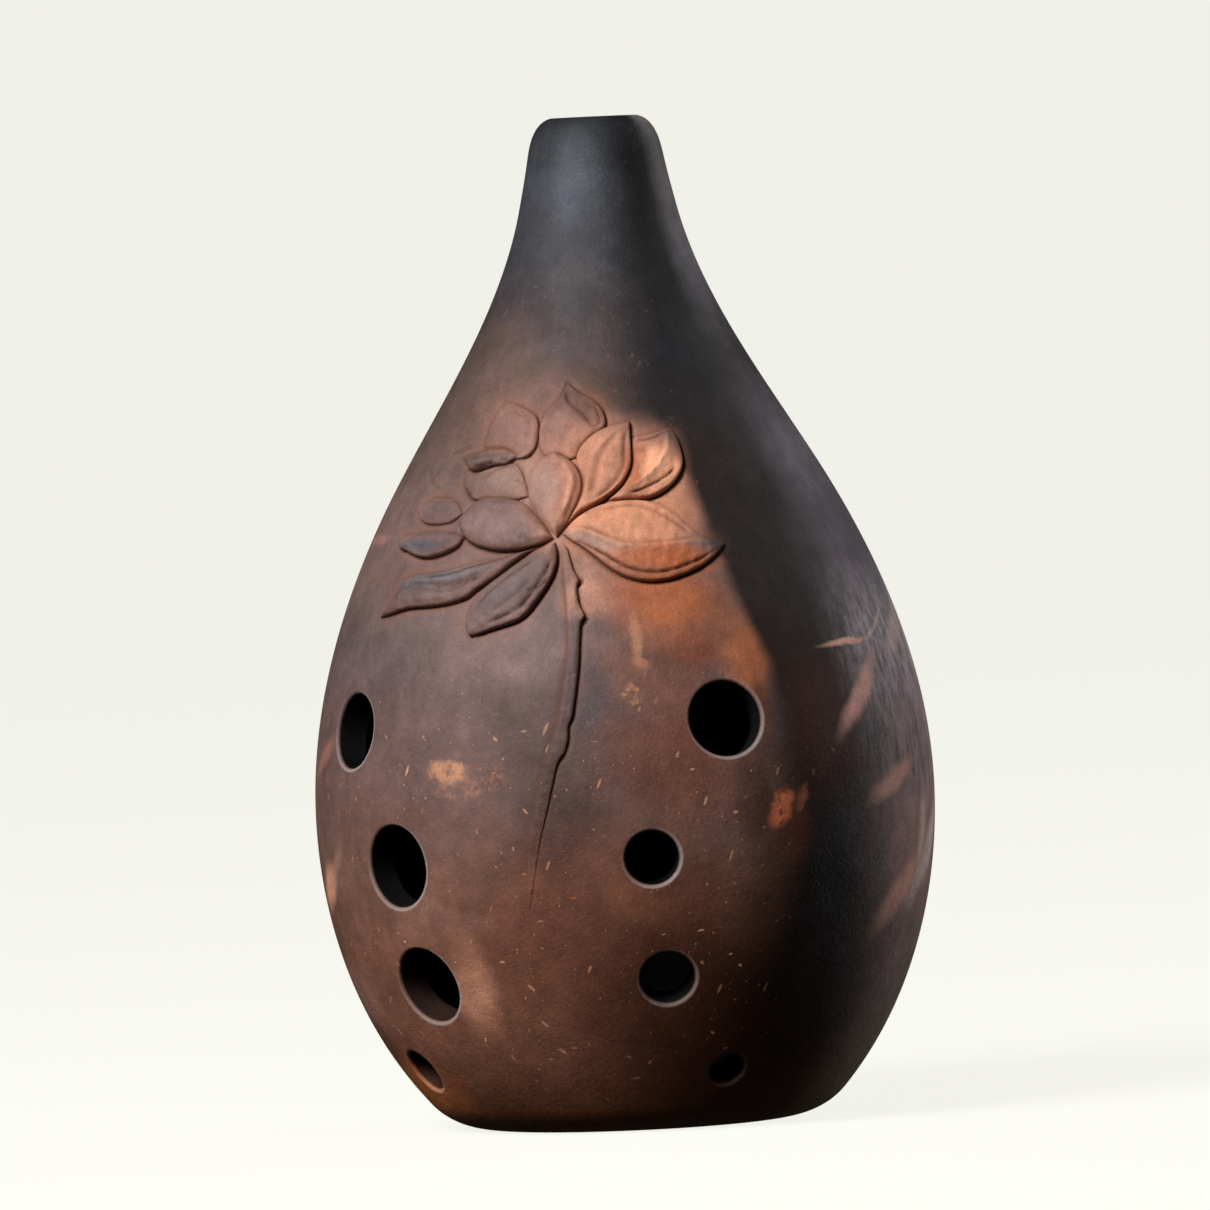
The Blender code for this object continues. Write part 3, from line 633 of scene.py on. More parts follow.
        (-15.2, 4.0, -17.0, 2.8, -19.5, 2.4, -22.0, 2.5, -23.8, 3.2, -24.7, 4.2),
        first_height=0.2, crown=0.55, second_height=0.36, crown_at=0.45, first_round=0.6,
        second_round=0.6, first_cut=0.20, second_cut=0.20,
        lines=(
            ToolLine((-17.0, 5.3, -19.0, 5.0, -21.0, 5.1, -23.0, 4.5), 0.12, 0.5, 0.6),
            ToolLine((-17.6, 5.6, -18.2, 4.6, -19.4, 3.8), -0.12, 0.4, 0.4, 0.1),
        ),
    ),
)

# The lines drawn straight into the wall round the lotus
WALL_LINES = (
    ToolLine((-24.3, 10.8, -23.2, 9.3, -21.8, 8.2, -19.6, 7.7), -0.22, 0.7, 0.4, 0.3),
    ToolLine((-19.2, 12.2, -18.8, 13.2, -17.2, 13.8, -15.6, 14.2, -14.9, 13.7),
        -0.2, 0.4, 0.4, 0.35),
    ToolLine((-16.2, 12.6, -15.2, 12.4, -14.2, 12.7), -0.2, 0.4, 0.4, 0.4),
    ToolLine((-6.9, 12.7, -5.9, 12.5, -4.8, 12.6), -0.2, 0.35, 0.35, 0.4),
    ToolLine((-0.9, 22.0, -0.7, 23.4, -0.2, 24.2), -0.15, 0.4, 0.4, 0.2),
    ToolLine((-13.3, -12.4, -13.0, -13.6, -12.2, -14.3), -0.25, 0.4, 0.4, 0.4),
    ToolLine((16.2, 9.6, 16.9, 8.2, 16.4, 7.2), 0.12, 0.5, 0.5),
    ToolLine((3.0, -6.2, 3.3, -6.6, 2.9, -7.4), -0.4, 0.3, 0.3, 0.8),
    ToolLine((3.95, -11.5, 4.2, -12.1, 3.6, -12.9), -0.4, 0.3, 0.3, 0.8),
)


@dataclass
class LotusRelief:
    """The lotus as heights and depths on its sheet, and the sheet's place on the body."""

    outline: BodyOutline
    heart_azimuth: float = 8.4
    heart_height: float = 81.5
    buried: float = 1.1
    dent: float = 0.065
    forms: tuple[PetalForm, ...] = PETALS

    def to_sheet(self, azimuth: Array, run: Array) -> tuple[Array, Array]:
        """Return the sheet's two coordinates of places on the body."""
        radius = self.outline.at(run)[0]
        heart = self.outline.run_at(self.heart_height)
        return (azimuth - math.radians(self.heart_azimuth)) * radius, run - heart

    def from_sheet(self, u: Array, v: Array) -> tuple[Array, Array]:
        """Return the azimuth and the run of places on the sheet."""
        run = self.outline.run_at(self.heart_height) + v
        return math.radians(self.heart_azimuth) + u / self.outline.at(run)[0], run

    def on_wall(self, azimuth: Array, run: Array) -> tuple[Array, Array]:
        """Measure the wall's surface.

        Args:
            azimuth: Radians from the front.
            run: Lengths of outline.

        Returns:
            The lift of the surface, and its facts.
        """
        u, v = self.to_sheet(azimuth, run)
        depth = np.zeros(u.shape)
        facts = no_facts(*u.shape)
        for form in self.forms:
            cut, dark, warm = form.groove(u, v)
            depth = np.maximum(depth, cut)
            facts[..., SOOT_AND_SHADE] = np.maximum(facts[..., SOOT_AND_SHADE], dark)
            facts[..., WARM] = np.maximum(facts[..., WARM], warm)
        for line in WALL_LINES:
            rise, dark = line.mark(u, v)
            depth = depth - rise
            facts[..., SOOT_AND_SHADE] = np.maximum(facts[..., SOOT_AND_SHADE], dark)
        return self.outline.hand_work(azimuth, run) - depth, facts

    def on_petal(
        self, index: int, u: Array, v: Array, along: Array, across: Array, width: Array
    ) -> tuple[Array, Array]:
        """Measure a petal's upper surface.

        Args:
            index: The petal's place in the order of the layers.
            u: The points' first coordinates on the sheet.
            v: The points' second coordinates.
            along: Shares of the petal's length.
            across: Shares of its width.
            width: The petal's width at the points.

        Returns:
            The height over the wall, and the facts.
        """
        form = self.forms[index]
        left = np.sin(np.pi / 2 * np.clip(across / form.crown_at, 0, 1))
        right = np.sin(np.pi / 2 * np.clip((1 - across) / (1 - form.crown_at), 0, 1))
        bulge = np.where(across < form.crown_at, left, right)
        edge = form.first_height + (form.second_height - form.first_height) * across
        swell = np.sin(np.pi * np.clip(along, 0.0, 1.0)) ** form.swell
        height = (edge + (form.crown - edge) * bulge) * (0.25 + 0.75 * swell)
        first = np.clip(across * width / form.first_round, 0, 1)
        second = np.clip((1 - across) * width / form.second_round, 0, 1)
        for side in (first, second):
            height = height * (0.42 + 0.58 * np.sqrt(1 - (1 - side) ** 2))
        # Soot and painted shade along the petal's second side, which faces away from the light
        soot = 0.5 * np.clip(1 - (1 - across) * width / 0.25, 0, 1) * min(form.second_cut * 2, 1)
        if form.sinks_from < 1.0:
            height = height * (1.0 - 0.85 * ease(along, form.sinks_from, 0.95))
            soot = soot * (1.0 - ease(along, form.sinks_from, 0.8))
        # Dents of the thumb and the tool, two to four millimetres apart
        dents = np.sin(2.3 * u + 1.1 * v + index) * np.sin(1.9 * v - 0.7 * u + 2 * index)
        dents = dents + 0.6 * np.sin(3.7 * u - 2.2 * v) * np.sin(2.9 * v + 1.6 * u + index)
        height = height + self.dent * dents * np.minimum(first, second)
        edge_gap = np.minimum(across, 1.0 - across) * width
        warm = 0.8 * np.clip(1.0 - edge_gap / (1.3 * form.scorch), 0, 1) * (0.3 + 0.7 * across)
        wear_and_highlight = np.zeros(u.shape)
        for line in form.lines:
            rise, dark = line.mark(u, v)
            height = height + rise * (0.3 + 0.7 * swell)
            soot = np.maximum(soot, dark)
            wear_and_highlight = np.maximum(wear_and_highlight, 0.12 * np.clip(rise * 2.2, 0, 1))
        for front in self.forms[:index]:
            cut, dark, scorched = front.groove(u, v)
            pressed = ease(front.depth_inside(u, v), 0.0, 0.45)
            height = (height - 0.8 * cut) * (1 - pressed) - 0.5 * pressed
            soot = np.maximum(soot, dark)
            warm = np.maximum(warm, scorched)
            wear_and_highlight = wear_and_highlight * (1 - pressed)
        return height, np.stack([soot, wear_and_highlight, np.zeros(u.shape), warm], axis=-1)


# Meshes


def closed(ring: Array) -> Array:
    """Return a ring of points with its first one again at its end."""
    return np.append(ring, ring[0])


def spread(steps: int, gathered: float) -> Array:
    """Return shares from 0 to 1 that lie closer together at both ends.

    Args:
        steps: How many steps there are from 0 to 1.
        gathered: How much closer they lie, from 0 to 1.

    Returns:
        The shares.
    """
    even = np.linspace(0.0, 1.0, steps + 1)
    return (1.0 - gathered) * even + gathered * (0.5 - 0.5 * np.cos(np.pi * even))


def walk(line: Array, shares: Array) -> Array:
    """Return the points that lie at shares of a line's length."""
    at = np.append(0.0, np.cumsum(np.linalg.norm(np.diff(line, axis=0), axis=1)))
    return np.stack([np.interp(shares, at / at[-1], axis) for axis in line.T], axis=-1)


class ClayMesh:
    """The points and faces of one closed piece, gathered before its mesh is made."""

    def __init__(self) -> None:
        """Start with no points."""
        self.points: list[Array] = []
        self.normals: list[Array] = []
        self.facts: list[Array] = []
        self.faces: list[list[int]] = []
        self.skin_faces = 0
        self.count = 0

    def add(self, points: Array, facts: Array, normals: Optional[Array] = None) -> Array:
        """Add points.

        Args:
            points: Their places, in millimetres, with the three coordinates last.
            facts: What each point knows, in the order of FACTS, or what all of them know.
            normals: Their directions, where the skin gives them.

        Returns:
            Their numbers, in the shape that they came in.
        """
        shape = points.shape[:-1]
        numbers = self.count + np.arange(math.prod(shape)).reshape(shape)
        self.count += numbers.size
        self.points.append(points.reshape(-1, 3))
        self.normals.append(np.zeros((numbers.size, 3)) if normals is None else normals)
        each = np.broadcast_to(facts, shape + (len(FACTS),))
        self.facts.append(each.reshape(-1, len(FACTS)))
        return numbers

    def strip(self, first: Array, second: Array) -> None:
        """Join two lines of points that have the same number of points."""
        quads = (first[:-1], first[1:], second[1:], second[:-1])
        self.faces += np.stack(quads, axis=-1).tolist()

    def sheet(self, lines: Array) -> None:
        """Join each line of points to the next."""
        for here, there in zip(lines, lines[1:]):
            self.strip(here, there)

    def fan(self, line: Array, tip: int) -> None:
        """Join a line of points to one point."""
        self.faces += [[int(a), int(b), int(tip)] for a, b in zip(line, line[1:])]

    def turn(self, ring: Array, rings: list[Array], facts: list[Array]) -> Array:
        """Carry the surface on over rings that have the same number of points.

        Args:
            ring: The numbers of the ring that they start from.
            rings: The points of each new ring.
            facts: What the points of each ring know.

        Returns:
            The numbers of the last ring.
        """
        for points, known in zip(rings, facts):
            inner = self.add(points, known)
            self.strip(closed(ring), closed(inner))
            ring = inner
        return ring

    def zip_up(self, first: Array, second: Array, first_at: Array, second_at: Array) -> None:
        """Join two lines of points by where their points lie along them.

        Args:
            first: The numbers of the first line's points.
            second: The numbers of the second line's points.
            first_at: Where the first line's points lie, in rising order.
            second_at: Where the second line's points lie.
        """
        i = j = 0
        while i < len(first) - 1 or j < len(second) - 1:
            last_second = j == len(second) - 1
            if last_second or (i < len(first) - 1 and first_at[i + 1] <= second_at[j + 1]):
                self.faces.append([int(first[i]), int(first[i + 1]), int(second[j])])
                i += 1
            else:
                self.faces.append([int(first[i]), int(second[j + 1]), int(second[j])])
                j += 1

    def zip_rings(self, first: Array, second: Array, first_at: Array, second_at: Array) -> None:
        """Join two closed rings of points by their angles round a common middle."""
        start = nearest(second_at, first_at[0])
        second = np.roll(second, -start)
        second_at = np.unwrap(np.roll(second_at, -start))
        second_at = second_at + FULL_TURN * np.round((first_at[0] - second_at[0]) / FULL_TURN)
        first_at, second_at = (np.append(at, at[0] + FULL_TURN) for at in (first_at, second_at))
        self.zip_up(closed(first), closed(second), first_at, second_at)

    def make(self, name: str, sharp: float = 50.0) -> bpy.types.Object:
        """Make the Blender object.

        Args:
            name: The piece's name.
            sharp: The angle in degrees above which an edge stays crisp.

        Returns:
            The object, with its faces turned out and its facts as attributes.
        """
        places = np.vstack(self.points) * MM
        mesh = bpy.data.meshes.new(name)
        mesh.from_pydata(places.tolist(), [], self.faces)
        work = bmesh.new()
        work.from_mesh(mesh)
        bmesh.ops.recalc_face_normals(work, faces=work.faces)
        work.to_mesh(mesh)
        work.free()
        mesh.shade_smooth()
        mesh.set_sharp_from_angle(angle=math.radians(sharp))
        if self.skin_faces:
            loops = np.empty(len(mesh.loops), np.int32)
            mesh.loops.foreach_get("vertex_index", loops)
            normals = np.vstack(self.normals)[loops]
            normals[mesh.polygons[self.skin_faces - 1].loop_start + 4 :] = 0.0
            mesh.normals_split_custom_set(normals.tolist())
        facts = np.vstack(self.facts).astype(np.float32)
        for fact, column in zip(FACTS, facts.T):
            layer = mesh.attributes.new(fact, "FLOAT", "POINT")
            layer.data.foreach_set("value", column.copy())
        solid = bpy.data.objects.new(name, mesh)
        bpy.context.scene.collection.objects.link(solid)
        return solid


@dataclass(frozen=True)
class FingerHole:
    """A round hole bored square through the wall: its rim's wear with a painted highlight, and the
    soot and painted shade in its bore.
    """

    name: str
    azimuth: float
    height: float
    diameter: float
    piece: Piece
    # How dark the bore is painted, soot and painted shade; how pale the rim is, with wear and a
    # painted highlight
    soot: float = 1.0
    wear_and_highlight: float = 1.0


FINGER_HOLES = (
    FingerHole("left_index", -41.0, 56.1, 10.2, Piece.FRONT),
    FingerHole("left_middle", -27.5, 37.7, 11.2, Piece.FRONT),
    FingerHole("left_ring", -25.5, 21.2, 10.8, Piece.FRONT, 0.9),
    FingerHole("left_little", -42.5, 8.9, 6.6, Piece.FRONT, 0.93, 0.7),
    FingerHole("right_index", 41.0, 56.3, 10.2, Piece.FRONT),
    FingerHole("right_middle", 25.5, 38.0, 7.3, Piece.FRONT),
    FingerHole("right_ring", 28.0, 21.4, 7.4, Piece.FRONT, 1.0, 0.7),
    FingerHole("right_little", 43.5, 8.1, 4.8, Piece.FRONT, 1.0, 0.15),
    FingerHole("left_thumb", -152.0, 48.3, 9.8, Piece.BACK),
    FingerHole("right_thumb", 152.0, 48.3, 9.8, Piece.BACK),
)


@dataclass
class HoleFrame:
    """The middle of a hole on the skin, with its axes, for measuring round it."""

    outline: BodyOutline
    hole: FingerHole

    def __post_init__(self) -> None:
        """Work out the middle and the axes."""
        self.azimuth = math.radians(self.hole.azimuth)
        self.run = self.outline.run_at(self.hole.height)
        self.middle = self.outline.place(self.azimuth, self.run, 0.0)
        radius, _, out, up = self.outline.at(self.run)
        self.radius = float(radius)
        sin, cos = math.sin(self.azimuth), math.cos(self.azimuth)
        self.side = np.array([cos, sin, 0.0])
        self.upward = np.cross([out * sin, -out * cos, up], self.side)

    def angles(self, points: Array) -> Array:
        """Return the rising angles of a ring of points round the hole."""
        off = points - self.middle
        return np.unwrap(np.arctan2(off @ self.upward, off @ self.side))

    def circle(self, radius: float, angles: Array, lift: float) -> tuple[Array, Array]:
        """Find a circle square to the hole's axis on a skin.

        Args:
            radius: The circle's radius.
            angles: The angles of its points.
            lift: How far the skin lies outside the outer one.

        Returns:
            The azimuth and the run of its points.
        """
        x, y = radius * np.cos(angles), radius * np.sin(angles)
        azimuth, run = self.azimuth + x / self.radius, self.run + y
        for _ in range(8):
            off = self.outline.place(azimuth, run, lift) - self.middle
            azimuth = azimuth + (x - off @ self.side) / (self.outline.at(run)[0] + lift)
            run = run + (y - off @ self.upward)
        return azimuth, run


@dataclass(frozen=True)
class GridBox:
    """A box on a grid of columns and rows, which a hole is cut in."""

    first: int
    last: int
    low: int
    high: int

    @classmethod
    def round(
        cls, columns: Array, rows: Array, middle: float, half: float, low: float, high: float
    ) -> "GridBox":
        """Find the grid lines that frame a hole.

        Args:
            columns: The grid's azimuths in radians.
            rows: The grid's runs.
            middle: The azimuth of the hole's middle.
            half: How far to each side of it the box reaches, in radians.
            low: The run that its lower edge stays under.
            high: The run that its upper edge stays over.

        Returns:
            The box.
        """
        left, right = np.searchsorted(columns, (middle - half, middle + half))
        bottom, top = np.searchsorted(rows, (low, high))
        return cls(int(left) - 1, int(right), max(int(bottom) - 1, 0), int(top))

    def clear(self, kept: Array) -> None:
        """Take the box's faces out of those that a grid keeps."""
        kept[self.low : self.high, self.first : self.last] = False

    def border(self, grid: Array) -> Array:
        """Return what a grid holds round the box, from its lower left corner."""
        bottom = grid[self.low, self.first : self.last]
        right = grid[self.low : self.high, self.last]
        top = grid[self.high, self.last : self.first : -1]
        left = grid[self.high : self.low : -1, self.first]
        return np.concatenate([bottom, right, top, left])


@dataclass
class OuterSkin:
    """The whole outside of the body as one surface, shared out to its pieces.

    Its directions are worked out before it is shared out, so no seam shows. The grid's lines
    lie closer together round the lotus.
    """

    outline: BodyOutline
    relief: LotusRelief
    floor_height: float = 3.6
    ring_seat: float = 124.5
    lotus_span: tuple[float, float] = (25.3, 106.3)
    wall: float = 4.5
    rim_round: float = 0.55
    rim_margin: float = 0.9
    rim_step: float = 0.6
    rim_turn: float = 80.0
    rim_rings: int = 8
    bore_shares: tuple[float, ...] = (0.12, 0.3, 0.5, 0.75, 1.0)

    def __post_init__(self) -> None:
        """Lay the grid, cut the holes in it and measure it."""
        spans = (
            (-180, -90, 36), (-90, -60, 16), (-60, -42, 20), (-42, 56, 172), (56, 68, 12),
            (68, 90, 12), (90, 180, 36),
        )
        self.columns = np.radians(self.steps_over(spans))
        heights = (0.0, self.floor_height) + self.lotus_span + (self.ring_seat,)
        runs = [self.outline.run_at(height) for height in heights] + [self.outline.run[-1]]
        spans = zip(runs, runs[1:], (16, 30, 250, 28, 30))
        self.rows = np.append(self.steps_over(spans), runs[-1])
        self.floor_row, self.ring_row = (nearest(self.rows, runs[place]) for place in (1, 4))
        self.left_column, self.right_column = (
            nearest(self.columns, side) for side in (-np.pi / 2, np.pi / 2)
        )
        self.mesh = ClayMesh()
        self.places = np.meshgrid(self.columns, self.rows)
        self.grid = self.ring(*self.places)
        self.faces: list[Array] = []
        self.owners: list[Array] = []
        self.bores: dict[str, tuple[Array, Array]] = {}
        kept = np.ones((len(self.rows) - 1, len(self.columns)), bool)
        for hole in FINGER_HOLES:
            self.cut(hole, kept)
        self.lay_grid(kept)
        self.measure()

    @staticmethod
    def steps_over(spans: Any) -> Array:
        """Return even steps over spans: each one's start and end, and how many it has."""
        parts = [np.linspace(low, high, steps, endpoint=False) for low, high, steps in spans]
        return np.concatenate(parts)

    def ring(
        self, azimuth: Array, run: Array, depth: float = 0.0, wear_and_highlight: Any = 0.0, deep: float = 0.0
    ) -> Array:
        """Add points of the surface.

        Args:
            azimuth: Their azimuths in radians.
            run: Their runs.
            depth: How far under the surface they lie.
            wear_and_highlight: How worn they are, with a painted highlight on a rim's lit side.
            deep: How dark they are painted as inside the pot, soot and painted shade together.

        Returns:
            Their numbers.
        """
        lift, facts = self.relief.on_wall(azimuth, run)
        facts[..., WEAR_AND_HIGHLIGHT] = wear_and_highlight
        facts[..., DEEP] = deep
        return self.mesh.add(self.outline.place(azimuth, run, lift - depth), facts)

    def cut(self, hole: FingerHole, kept: Array) -> None:
        """Cut a hole: fill its box with rings that end in a rounded rim and a bore.

        Args:
            hole: The hole.
            kept: Which faces of the grid stay. The hole's own are taken out of it.
        """
        frame = HoleFrame(self.outline, hole)
        bore = hole.diameter / 2.0
        rim = bore + self.rim_round
        reach = rim + self.rim_margin
        box = GridBox.round(
            self.columns, self.rows, frame.azimuth, reach / frame.radius * 1.06,
            frame.run - reach, frame.run + reach,
        )
        box.clear(kept)
        rings = [box.border(self.grid)]
        angles = frame.angles(self.mesh.points[0][rings[0]])
        outer = np.array([box.border(each) for each in self.places])
        inner = np.array(frame.circle(rim + 0.1, angles, 0.0))
        gap = np.hypot((outer[0] - inner[0]) * frame.radius, outer[1] - inner[1]).max()
        steps = max(3, math.ceil(gap / self.rim_step))
        for step in range(1, steps + 1):
            rings.append(self.ring(*(outer + (inner - outer) * (step / steps))))
        # Painted highlight: each rim is painted palest on its lower right, which faces the key
        # light, on top of its wear
        light = 0.42 + 0.42 * np.cos(angles + math.radians(50.0))
        for turn in np.radians(np.linspace(self.rim_turn, 0.0, self.rim_rings)):
            depth = self.rim_round * (1.0 - math.sin(turn))
            radius = bore + self.rim_round * (1.0 - math.cos(turn))
            share = turn / math.radians(self.rim_turn)
            azimuth, run = frame.circle(radius, angles, -depth)
            wear_and_highlight = hole.wear_and_highlight * share * light
            # Down the rim the points are painted darker the deeper they lie: soot and painted shade
            rings.append(self.ring(azimuth, run, depth, wear_and_highlight, hole.soot * (1 - share) ** 2))
        start = self.mesh.points[-1]
        end = self.outline.place(*frame.circle(bore, angles, -self.wall), -self.wall)
        # The bore is painted dark all the way in: soot and painted shade
        for share in self.bore_shares:
            rings.append(self.mesh.add(start + (end - start) * share, no_facts(deep=hole.soot)))
        for outside, inside in zip(rings, rings[1:]):
            quads = (outside, np.roll(outside, -1), np.roll(inside, -1), inside)
            self.faces.append(np.stack(quads, axis=-1))
            self.owners.append(np.full(len(outside), hole.piece.value))
        self.bores[hole.name] = (rings[-1], angles)

    def lay_grid(self, kept: Array) -> None:
        """Lay the faces of the grid, apart from those inside the holes' boxes."""
        beside = np.roll(self.grid, -1, axis=1)
        quads = np.stack([self.grid[:-1], beside[:-1], beside[1:], self.grid[1:]], axis=-1)
        row, column = np.indices(kept.shape)
        front = (column >= self.left_column) & (column < self.right_column)
        owner = np.where(front, Piece.FRONT.value, Piece.BACK.value)
        owner = np.where(row < self.floor_row, Piece.FOOT.value, owner)
        owner = np.where(row >= self.ring_row, Piece.MOUTH.value, owner)
        self.faces.insert(0, quads[kept])
        self.owners.insert(0, owner[kept])

    def measure(self) -> None:
        """Gather the points and work out their directions from the faces round them."""
        self.all_points = np.vstack(self.mesh.points)
        self.all_facts = np.vstack(self.mesh.facts)
        self.all_faces = np.vstack(self.faces)
        self.all_owners = np.concatenate(self.owners)
        corners = self.all_points[self.all_faces]
        across = np.cross(corners[:, 2] - corners[:, 0], corners[:, 3] - corners[:, 1])
        normals = np.zeros_like(self.all_points)
        for corner in self.all_faces.T:
            np.add.at(normals, corner, across)
        length = np.linalg.norm(normals, axis=1, keepdims=True)
        self.all_normals = normals / np.maximum(length, 1e-9)

    def share_out(self, piece: Piece, mesh: ClayMesh) -> Array:
        """Give a piece its faces of the skin.

        Args:
            piece: The piece.
            mesh: The mesh that they are added to.

        Returns:
            For every point of the skin, its number in the mesh, or -1.
        """
        faces = self.all_faces[self.all_owners == piece.value]
        used = np.unique(faces)
        numbers = np.full(self.mesh.count, -1)
        numbers[used] = mesh.add(
            self.all_points[used], self.all_facts[used], self.all_normals[used]
        )
        mesh.faces += numbers[faces].tolist()
        mesh.skin_faces = len(mesh.faces)
        return numbers

    def turned(self, path: Points) -> list[Array]:
        """Return level rings, one for each radius and height of a path."""
        sin, cos = np.sin(self.columns), np.cos(self.columns)
        return [
            np.stack([radius * sin, -radius * cos, np.full_like(sin, height)], axis=-1)
            for radius, height in path
        ]


@dataclass
class WallHalf:
    """One half of the body wall, pressed in a mould, from the skin to the inside."""

    skin: OuterSkin
    piece: Piece
    name: str
    node: str
    slot: str
    column_step: float = 2.5
    row_step: float = 1.6
    hole_margin: float = 0.5

    def build(self) -> bpy.types.Object:
        """Build the half as a closed mesh."""
        skin = self.skin
        self.mesh = ClayMesh()
        self.numbers = skin.share_out(self.piece, self.mesh)
        start = -np.pi / 2 if self.piece is Piece.FRONT else np.pi / 2
        self.columns = start + np.linspace(0.0, np.pi, int(180 / self.column_step) + 1)
        ends = (skin.floor_height, skin.ring_seat)
        low, high = (skin.outline.run_inside_at(height, skin.wall) for height in ends)
        self.rows = np.linspace(low, high, int((high - low) / self.row_step) + 1)
        points = skin.outline.place(*np.meshgrid(self.columns, self.rows), -skin.wall)
        points[0, :, 2] = skin.floor_height
        # The inner skin is painted dark all over: soot and painted shade
        self.grid = self.mesh.add(points, no_facts(deep=1.0))
        kept = np.ones((len(self.rows) - 1, len(self.columns) - 1), bool)
        for hole in FINGER_HOLES:
            if hole.piece is self.piece:
                self.open_hole(hole, kept)
        low, high = self.grid[:-1], self.grid[1:]
        quads = np.stack([low[:, :-1], high[:, :-1], high[:, 1:], low[:, 1:]], axis=-1)
        self.mesh.faces += quads[kept].tolist()
        self.close()
        return self.mesh.make(self.name)

    def open_hole(self, hole: FingerHole, kept: Array) -> None:
        """Join a hole's bore to the inside of the wall.

        Args:
            hole: The hole.
            kept: Which faces of the inside stay. The hole's own are taken out of it.
        """
        frame = HoleFrame(self.skin.outline, hole)
        if frame.azimuth < self.columns[0]:
            frame.azimuth += FULL_TURN
        bore, angles = self.skin.bores[hole.name]
        azimuth, run = frame.circle(hole.diameter / 2.0, angles, -self.skin.wall)
        half = (azimuth.max() - azimuth.min()) / 2 + self.hole_margin / frame.radius
        box = GridBox.round(
            self.columns, self.rows, frame.azimuth, half,
            run.min() - self.hole_margin, run.max() + self.hole_margin,
        )
        box.clear(kept)
        ring = box.border(self.grid)
        inside = frame.angles(np.vstack(self.mesh.points)[ring])
        self.mesh.zip_rings(self.numbers[bore], ring, angles, inside)

    def close(self) -> None:
        """Close the half along its foot, its top and its two seams."""
        skin = self.skin
        picks = np.arange(skin.left_column, skin.right_column + 1)
        turned = skin.columns[picks]
        if self.piece is Piece.BACK:
            after = np.arange(skin.right_column, len(skin.columns))
            picks = np.append(after, np.arange(skin.left_column + 1))
            turned = skin.columns[picks]
            turned = np.where(turned < 0, turned + FULL_TURN, turned)
            turned[0] = self.columns[0]
        for outer_row, inner_row in ((skin.floor_row, 0), (skin.ring_row, -1)):
            outer = self.numbers[skin.grid[outer_row, picks]]
            self.mesh.zip_up(outer, self.grid[inner_row], turned, self.columns)
        span = slice(skin.floor_row, skin.ring_row + 1)
        outer_at, inner_at = (
            (runs - runs[0]) / (runs[-1] - runs[0]) for runs in (skin.rows[span], self.rows)
        )
        for end in (0, -1):
            outer = self.numbers[skin.grid[span, picks[end]]]
            self.mesh.zip_up(outer, self.grid[:, end], outer_at, inner_at)


@dataclass
class FootSlab:
    """The floor of the pot: its edge carries on the wall, and its underside stands."""

    skin: OuterSkin
    name: str = "foot_slab"
    node: str = "base_disc"
    slot: str = "base_clay"
    underside: Points = ((20.6, 0.0), (19.6, 0.0), (18.6, 0.06), (14.0, 0.2), (7.0, 0.28))
    inside: Points = ((24.6, 3.6), (20.0, 3.55), (12.0, 3.5), (5.0, 3.5))

    def build(self) -> bpy.types.Object:
        """Build the slab as a closed mesh."""
        mesh = ClayMesh()
        numbers = self.skin.share_out(Piece.FOOT, mesh)
        # The slab's inside is painted dark, soot and painted shade; its underside is not
        sides = ((0, self.underside, 0.0), (self.skin.floor_row, self.inside, 1.0))
        for row, path, deep in sides:
            facts = no_facts(deep=deep)
            start = numbers[self.skin.grid[row]]
            ring = mesh.turn(start, self.skin.turned(path), [facts] * len(path))
            middle = mesh.add(np.array([[0.0, 0.0, path[-1][1]]]), facts)
            mesh.fan(closed(ring), middle[0])
        return mesh.make(self.name)


@dataclass
class MouthRim:
    """The ring at the top of the neck, with the bevelled edge that is blown across."""

    skin: OuterSkin
    name: str = "mouth_rim"
    node: str = "mouth_ring"
    slot: str = "mouth_clay"
    lip_wear: float = 0.15
    # Below this height the throat is painted darker over four millimetres: soot and painted shade
    dark_from: float = 136.7
    throat: Points = (
        (5.8, 137.79), (5.6, 137.75), (5.42, 137.62), (5.26, 137.38), (5.05, 137.0), (4.8, 136.6),
        (4.62, 136.25), (4.53, 135.9), (4.5, 135.5), (4.5, 134.3), (4.5, 133.1), (4.52, 132.5),
        (4.65, 132.0), (5.0, 130.1), (5.45, 127.7), (5.9, 125.7),
    )

    def build(self) -> bpy.types.Object:
        """Build the ring as a closed mesh."""
        skin = self.skin
        mesh = ClayMesh()
        numbers = skin.share_out(Piece.MOUTH, mesh)
        seat = skin.outline.run_inside_at(skin.ring_seat, skin.wall)
        radius, _, out, _ = skin.outline.at(seat)
        path = self.throat + ((float(radius - out * skin.wall), skin.ring_seat),)
        facts = [no_facts(deep=min(1.0, max(0.0, (self.dark_from - z) / 4.0))) for _, z in path]
        for known in facts[1:5]:
            known[WEAR_AND_HIGHLIGHT] = self.lip_wear
        ring = mesh.turn(numbers[skin.grid[-1]], skin.turned(path), facts)
        mesh.strip(closed(ring), closed(numbers[skin.grid[skin.ring_row]]))
        return mesh.make(self.name)


